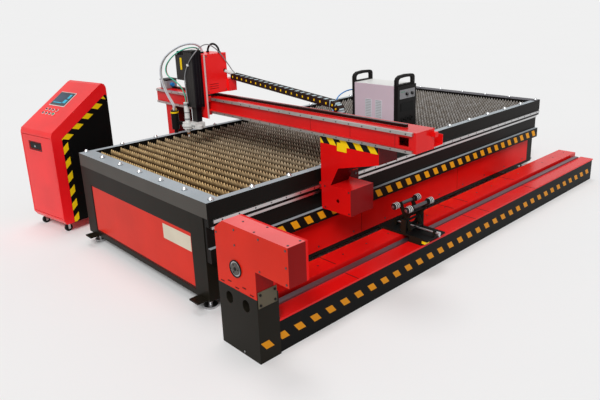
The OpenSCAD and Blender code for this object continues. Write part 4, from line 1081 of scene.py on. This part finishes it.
def make_door_details():
    bars = Shape(CABINET)
    for span in FRAME_BARS_Z:
        bars.slab(FRAME_X, (FRAME_FRONT, 0.0), span)
    for span in FRAME_BARS_X:
        bars.slab(span, (FRAME_FRONT, 0.0), FRAME_Z)
    piece("latch_frame", bars, PLASTIC, "cabinet_door")
    lock = Shape(CABINET).rod((LOCK_X, LOCK_BACK, LOCK_Z), (LOCK_X, LOCK_FRONT, LOCK_Z), 0.008, 20)
    piece("latch_lock", lock, CHROME, "door_latch")


make_cabinet_tape()
make_controls()
make_door_details()


# Gantry

STRIPES_X = (0.882, 1.362)
STRIPES_Z = (0.894, 0.941)
STRIPES_THICK = 0.0006
COLUMN_TAPE = {"pitch": 0.112, "patch": 0.056, "slant": -0.036, "start": -0.027, "thickness": 0.0002}
COLUMN_TAG_X = (1.028, 1.108)
COLUMN_TAG_Z = (0.862, 0.918)
COLUMN_TAG_THICK = 0.0016
BEAM_SEAMS = (0.793, 1.139, 1.481)
BEAM_SEAM_Z = (0.966, 1.038)
BEAM_BOLT_COUNT = 26
BEAM_BOLT_MARGIN = 0.06
BEAM_BOLT_INSET = 0.010
LUG_Y = (-0.975, -0.945)
LUG_Z = (1.018, 1.046)
LUG_LONG = 0.030
JUNCTION_X = (-1.105, -1.005)
JUNCTION_Y = (-1.090, -0.985)
JUNCTION_HIGH = 0.070
LID_X = (-1.108, -1.002)
LID_Y = (-1.093, -0.982)
LID_HIGH = 0.012
PLUG_X = (-1.004, -0.978)
PLUG_Y = -1.040
PLUG_RISE = 0.034
FOOT_PLATE_FACE = 0.895
FOOT_BOLTS_Y = (-1.085, -0.925, -0.795)
FOOT_BOLTS_Z = (0.475, 0.615)
MOTOR_SCREW_LEFT = 0.912
MOTOR_SCREW_INSET_X = 0.014
MOTOR_SCREW_INSET_Z = 0.016


def make_column_marks(face):
    front = face - STRIPES_THICK
    piece("column_band", Shape().slab(STRIPES_X, (front, face), STRIPES_Z), TAPE_BLACK, "gantry")
    stripes = Shape()
    patches(stripes, plane((STRIPES_X[0], front, STRIPES_Z[0]), RIGHT, UP), STRIPES_X[1] - STRIPES_X[0],
            STRIPES_Z[1] - STRIPES_Z[0], **COLUMN_TAPE)
    piece("column_stripes", stripes, YELLOW, "gantry")
    tag = Shape().slab(COLUMN_TAG_X, (face - COLUMN_TAG_THICK, face), COLUMN_TAG_Z)
    piece("column_tag", tag, YELLOW, "gantry")


def make_beam_details(low, high):
    seams = Shape()
    for x in BEAM_SEAMS:
        seams.slab(around(x, 0.001), (low.y - 0.0004, low.y), BEAM_SEAM_Z)
    piece("beam_seams", seams, SEAM, "gantry")
    rail_low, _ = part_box("x_rails")
    columns = evenly(low.x, high.x, BEAM_BOLT_MARGIN, BEAM_BOLT_COUNT)
    rows = (low.z + BEAM_BOLT_INSET, high.z - BEAM_BOLT_INSET)
    bolts = [(x, rail_low.y, z) for x in columns for z in rows]
    fasten("beam_rail_bolts", bolts, FRONT, BEAM_BOLT, DARK_STEEL, "gantry")
    piece("beam_lug", Shape().slab((high.x, high.x + LUG_LONG), LUG_Y, LUG_Z), RED, "gantry", 0.003)


def make_junction_box(base):
    top = base + JUNCTION_HIGH
    piece("junction_box", Shape().slab(JUNCTION_X, JUNCTION_Y, (base, top)), GREY, "gantry", 0.004)
    piece("junction_lid", Shape().slab(LID_X, LID_Y, (top, top + LID_HIGH)), PLASTIC, "gantry", 0.003)
    z = base + PLUG_RISE
    plug = Shape().rod((PLUG_X[0], PLUG_Y, z), (PLUG_X[1], PLUG_Y, z), 0.016, 20)
    piece("junction_plug", plug, BLUE, "gantry")


def make_column_bolts():
    bolts = Shape()
    for side in (-1, 1):
        for y in FOOT_BOLTS_Y:
            for z in FOOT_BOLTS_Z:
                bolts.stud((side * FOOT_PLATE_FACE, y, z), (side, 0, 0), COLUMN_BOLT)
    piece("foot_bolts", bolts, DARK_STEEL, "gantry")
    low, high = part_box("motor_boxes")
    columns = (MOTOR_SCREW_LEFT, high.x - MOTOR_SCREW_INSET_X)
    rows = (low.z + MOTOR_SCREW_INSET_Z, high.z - MOTOR_SCREW_INSET_Z)
    screws = [(x, low.y, z) for x in columns for z in rows]
    fasten("motor_box_screws", screws, FRONT, CASE_SCREW, DARK_STEEL, "gantry")


def make_gantry():
    low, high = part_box("gantry_beam")
    make_column_marks(low.y)
    make_beam_details(low, high)
    make_junction_box(high.z)
    make_column_bolts()


make_gantry()


# Carriage and torch

LIFTER_LOW = Vector((-0.445, -1.245, 0.997))
LIFTER_HIGH = Vector((-0.328, -1.163, 1.426))
FRONT_RIDGES = (0.006, 0.034, 0.062, 0.090)
FRONT_RIDGE_WIDE = 0.020
FRONT_RIDGE_PROUD = 0.0012
SIDE_RIDGES = (0.006, 0.032, 0.058)
SIDE_RIDGE_WIDE = 0.019
SIDE_RIDGE_PROUD = 0.003
RIDGE_LOW_MARGIN = 0.02
RIDGE_TOP_MARGIN = 0.01
CAP_OVERHANG = 0.002
CAP_DROP = 0.012


def make_lifter():
    low, high = LIFTER_LOW, LIFTER_HIGH
    span = (low.z + RIDGE_LOW_MARGIN, high.z - RIDGE_TOP_MARGIN)
    ridges = Shape()
    for place in FRONT_RIDGES:
        x = low.x + place
        ridges.slab((x, x + FRONT_RIDGE_WIDE), (low.y - FRONT_RIDGE_PROUD, low.y + SEAT), span)
    for place in SIDE_RIDGES:
        y = low.y + place
        ridges.slab((high.x - SEAT, high.x + SIDE_RIDGE_PROUD), (y, y + SIDE_RIDGE_WIDE), span)
    piece("lifter_ridges", ridges, LIFTER, "carriage", 0.0015)
    cap = Shape().slab((low.x - CAP_OVERHANG, high.x + CAP_OVERHANG), (low.y - CAP_OVERHANG, high.y),
                       (high.z - CAP_DROP, high.z + CAP_OVERHANG))
    piece("lifter_cap", cap, PLASTIC, "carriage", 0.002)


HEIGHT_BOX_FACE = LIFTER_LOW.y + 0.015
HEIGHT_TAG_X = (-0.520, -0.496)
HEIGHT_TAG_Z = (1.276, 1.368)
HEIGHT_TAG_THICK = 0.004
HEIGHT_PLUGS_X = (-0.572, -0.540, -0.508)
BLUE_PLUG_X = -0.476
HEIGHT_PLUG_WIDE = 0.024
HEIGHT_PLUG_Y = (HEIGHT_BOX_FACE + 0.006, HEIGHT_BOX_FACE + 0.050)
HEIGHT_PLUG_LOW = 1.389
HEIGHT_PLUG_TOP = 1.416
BLUE_PLUG_TOP = 1.412


def add_plug(shape, x, top):
    return shape.slab((x, x + HEIGHT_PLUG_WIDE), HEIGHT_PLUG_Y, (HEIGHT_PLUG_LOW, top))


def make_height_box():
    tag = Shape().slab(HEIGHT_TAG_X, (HEIGHT_BOX_FACE - HEIGHT_TAG_THICK, HEIGHT_BOX_FACE), HEIGHT_TAG_Z)
    piece("height_tag", tag, YELLOW, "carriage", 0.004)
    plugs = Shape()
    for x in HEIGHT_PLUGS_X:
        add_plug(plugs, x, HEIGHT_PLUG_TOP)
    piece("height_plugs", plugs, PLASTIC, "carriage", 0.003)
    piece("height_blue_plug", add_plug(Shape(), BLUE_PLUG_X, BLUE_PLUG_TOP), BLUE, "carriage", 0.003)


EDGE_LOW = (-0.300, -1.1625, 0.908)
EDGE_HIGH = (-0.2992, -1.1485, 1.390)
COVER_FRONT = -1.1485
COVER_SIDE = -0.307
FRONT_BOLTS_X = (-0.505, -0.322)
FRONT_BOLTS_Z = (1.380, 1.110)
SIDE_BOLTS_Y = (-1.130, -0.965)
SIDE_BOLTS_Z = (1.108, 1.378)
COVER_VENTS_Z = (1.126, 1.143, 1.160)
COVER_VENT_HIGH = 0.005
COVER_VENT_Y = (-1.120, -1.035)
COVER_VENT_HALF = 0.0004
GLAND_LOW = 1.3928
HOSE_GLAND_TOP = 1.405
CONDUIT_GLAND_TOP = 1.404
SLEEVE_BACK = (-0.309, -0.967, 1.252)
SLEEVE_FRONT = (-0.286, -0.902, 1.224)
CLIP_LOW = (-0.393, -1.2585, 1.313)
CLIP_HIGH = (-0.373, -1.2475, 1.329)


def make_cover():
    # Pale strip on the plate's +X edge: painted highlight
    piece("plate_edge", Shape().box(EDGE_LOW, EDGE_HIGH), EDGE_HIGHLIGHT, "carriage")
    bolts = Shape()
    for x in FRONT_BOLTS_X:
        for z in FRONT_BOLTS_Z:
            bolts.stud((x, COVER_FRONT, z), FRONT, COVER_FRONT_BOLT)
    for y in SIDE_BOLTS_Y:
        for z in SIDE_BOLTS_Z:
            bolts.stud((COVER_SIDE, y, z), RIGHT, COVER_SIDE_BOLT)
    piece("cover_bolts", bolts, DARK_STEEL, "carriage")
    vents = Shape()
    for z in COVER_VENTS_Z:
        vents.slab(around(COVER_SIDE, COVER_VENT_HALF), COVER_VENT_Y, (z, z + COVER_VENT_HIGH))
    piece("cover_vents", vents, SLOT, "carriage")


def make_glands():
    glands = Shape()
    for x, y, _ in (TORCH_ROUTE[0], AUX_ROUTE[0]):
        glands.ring((x, y, GLAND_LOW), (x, y, HOSE_GLAND_TOP), 0.0142, 0.0175, 24)
    for x, y, _ in (CONDUIT_ROUTE[0], CONDUIT_ROUTE[-1]):
        glands.ring((x, y, GLAND_LOW), (x, y, CONDUIT_GLAND_TOP), 0.0082, 0.0120, 24)
    piece("hose_glands", glands, PLASTIC, "carriage")
    sleeve = Shape().rod(SLEEVE_BACK, SLEEVE_FRONT, 0.011, 20, end_radius=0.017)
    piece("chain_sleeve", sleeve, WHITE, "carriage")
    piece("lead_clip", Shape().box(CLIP_LOW, CLIP_HIGH), WHITE, "carriage", 0.001)


TORCH_X, TORCH_Y = -0.4265, -1.269
TORCH_COLLARS = ((0.900, 0.912, 0.0225), (0.955, 0.962, 0.0215), (1.012, 1.030, 0.0225))
COLLAR_INNER = 0.0195
SHIELD_Z = (0.7855, 0.800)
CLAMP_SCREWS_X = (-0.378, -0.350)
CLAMP_FACE = -1.261
CLAMP_SCREW_Z = 0.858
LEAD_GLAND_Z = (1.004, 1.030)
AUX_X = -0.6125
AUX_RING_Z = (0.930, 0.942)
AUX_FITTINGS = ((-0.5875, 0.972), (-0.6360, 0.968))
AUX_FITTING_LOW = 0.9515


def on_torch(z):
    return TORCH_X, TORCH_Y, z


def make_torch():
    collars = Shape()
    for low, high, radius in TORCH_COLLARS:
        collars.ring(on_torch(low), on_torch(high), COLLAR_INNER, radius, 28)
    piece("torch_collars", collars, GREY, "torch_slide")
    shield = Shape().ring(on_torch(SHIELD_Z[0]), on_torch(SHIELD_Z[1]), 0.0085, 0.0130, 24)
    piece("torch_shield", shield, COPPER, "torch_slide")
    screws = [(x, CLAMP_FACE, CLAMP_SCREW_Z) for x in CLAMP_SCREWS_X]
    fasten("clamp_screws", screws, FRONT, CLAMP_SCREW, STEEL, "torch_slide")
    x = LEAD_ROUTE[0][0]
    gland = Shape().rod((x, TORCH_Y, LEAD_GLAND_Z[0]), (x, TORCH_Y, LEAD_GLAND_Z[1]), 0.0068, 16)
    piece("lead_gland", gland, PLASTIC, "torch_slide")
    fittings = Shape()
    for x, top in AUX_FITTINGS:
        fittings.rod((x, TORCH_Y, AUX_FITTING_LOW), (x, TORCH_Y, top), 0.007, 6)
    piece("aux_fittings", fittings, BRASS, "torch_slide")
    ring = Shape().ring((AUX_X, TORCH_Y, AUX_RING_Z[0]), (AUX_X, TORCH_Y, AUX_RING_Z[1]), 0.0295, 0.0325, 28)
    piece("aux_ring", ring, YELLOW, "torch_slide")


make_lifter()
make_height_box()
make_cover()
make_glands()
make_torch()


# Drag chain: links stand for the plain bar, and slide together as the carriage travels

CHAIN_START = Vector((-0.292, -0.898, 1.206))
CHAIN_END = Vector((0.793, -0.898, 1.1025))
CHAIN_HALF_WIDTH = 0.030
CHAIN_HALF_HEIGHT = 0.0225
LINK_PITCH = 0.057
BEND_PITCH = 0.040
BEND_LINKS = 5
LOW_LINKS = 19
LINK_WALL = 0.006
LINK_GAP = 0.001
DOT_HALF_LONG = 0.0055
DOT_HALF_HIGH = 0.007
BAR_HALF = 0.011
INNER_HALF_WIDTH = CHAIN_HALF_WIDTH - 0.004
CABLES_HALF_HEIGHT = CHAIN_HALF_HEIGHT - 0.004
BEND_CENTRE = Vector((0.795, -0.898, 1.0385))
BEND_RADIUS = 0.064


class Chain:
    def __init__(self):
        self.shapes = {"links": Shape(), "dots": Shape(), "cables": Shape()}

    def link(self, at, pitch):
        for shape in self.shapes.values():
            shape.at = at
        links, dots, cables = self.shapes.values()
        half = pitch / 2
        for side in (-1, 1):
            wall = sorted((side * CHAIN_HALF_WIDTH, side * (CHAIN_HALF_WIDTH - LINK_WALL)))
            links.slab(around(0, half - LINK_GAP), wall, around(0, CHAIN_HALF_HEIGHT))
            dot = sorted((side * (CHAIN_HALF_WIDTH - 0.001), side * (CHAIN_HALF_WIDTH + 0.0008)))
            dots.slab(around(0, DOT_HALF_LONG), dot, around(0, DOT_HALF_HIGH))
        inner = around(0, INNER_HALF_WIDTH)
        links.slab(around(0, BAR_HALF), inner, (CHAIN_HALF_HEIGHT - 0.005, CHAIN_HALF_HEIGHT + 0.001))
        cables.slab(around(0, half), inner, around(0, CABLES_HALF_HEIGHT))

    def pieces(self):
        links, dots, cables = self.shapes.values()
        return (("links", links, CHAIN), ("dots", dots, YELLOW), ("cables", cables, CABLES))


def upper_run():
    chain = Chain()
    along = CHAIN_END - CHAIN_START
    count = int(along.length / LINK_PITCH)
    turn = along.to_track_quat("X", "Z").to_matrix().to_4x4()
    for i in range(count):
        middle = CHAIN_START + along.normalized() * LINK_PITCH * (i + 0.5)
        chain.link(Matrix.Translation(middle) @ turn, LINK_PITCH)
    for name, shape, material in chain.pieces():
        obj = mesh_object("chain_" + name, shape.verts, shape.faces, material, smooth=True)
        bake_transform(obj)
        if name == "links":
            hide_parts("drag_chain")


def bend_run():
    chain = Chain()
    for i in range(BEND_LINKS):
        angle = math.radians(90 - 180 * (i + 0.5) / BEND_LINKS)
        out = Vector((math.cos(angle), 0, math.sin(angle)))
        turn = Matrix((Vector((out.z, 0, -out.x)), Vector((0, 1, 0)), out)).transposed().to_4x4()
        chain.link(Matrix.Translation(BEND_CENTRE + BEND_RADIUS * out) @ turn, BEND_PITCH)
    low_z = BEND_CENTRE.z - BEND_RADIUS
    turn = Matrix.Rotation(math.pi, 4, "Y")
    for i in range(LOW_LINKS):
        middle = Vector((BEND_CENTRE.x - LINK_PITCH * (i + 0.5), BEND_CENTRE.y, low_z))
        chain.link(Matrix.Translation(middle) @ turn, LINK_PITCH)
    for name, shape, material in chain.pieces():
        obj = piece("bend_" + name, shape, material, "chain_bend")
        if name == "links":
            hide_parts("chain_bend")


upper_run()
bend_run()


# Floor, light and background

PALE_LEVEL = 0.871
FLOOR_SIZE = 60.0
FLOOR_DROP = 0.0005
SKY_LIGHT = 0.34
SUNS = (("key", (0.44, -0.58, 0.68), 0.46, 24), ("top", (-0.14, 0.08, 0.98), 0.20, 24))


def make_floor():
    corners = [(x * FLOOR_SIZE, y * FLOOR_SIZE, 0) for x, y in ((-1, -1), (1, -1), (1, 1), (-1, 1))]
    material, tree, shader = new_material("pale_floor")
    pale = (PALE_LEVEL,) * 3
    tint = ramp(tree, noise(tree, 0.6), shade(pale, 0.997), shade(pale, 1.003))
    coat(shader, tree, tint, 0.9, specular=0.0)
    floor = mesh_object("floor", corners, [[0, 1, 2, 3]], material, smooth=False)
    floor.location.z = -FLOOR_DROP


def make_suns():
    for name, toward, level, spread in SUNS:
        toward = Vector(toward).normalized()
        data = bpy.data.lights.new(name, "SUN")
        data.energy = level * math.pi / toward.z
        data.angle = math.radians(spread)
        lamp = bpy.data.objects.new(name, data)
        bpy.context.scene.collection.objects.link(lamp)
        lamp.rotation_euler = (-toward).to_track_quat("-Z", "Y").to_euler()


def make_world():
    """Lights evenly from all round; what the camera and reflections see is the floor's own pale level."""
    world = bpy.data.worlds.new("studio")
    bpy.context.scene.world = world
    world.use_nodes = True
    tree = world.node_tree
    background = tree.nodes["Background"]
    background.inputs["Color"].default_value = (1, 1, 1, 1)
    rays = tree.nodes.new("ShaderNodeLightPath")
    seen = rays.outputs["Is Camera Ray"]
    for other in ("Is Glossy Ray", "Is Transmission Ray"):
        add = tree.nodes.new("ShaderNodeMath")
        add.use_clamp = True
        tree.links.new(seen, add.inputs[0])
        tree.links.new(rays.outputs[other], add.inputs[1])
        seen = add.outputs["Value"]
    level = tree.nodes.new("ShaderNodeMapRange")
    level.inputs["To Min"].default_value = SKY_LIGHT
    level.inputs["To Max"].default_value = PALE_LEVEL
    tree.links.new(seen, level.inputs["Value"])
    tree.links.new(level.outputs["Result"], background.inputs["Strength"])


def make_studio():
    make_floor()
    make_world()
    make_suns()
    bpy.context.scene.view_settings.view_transform = "Standard"


make_studio()
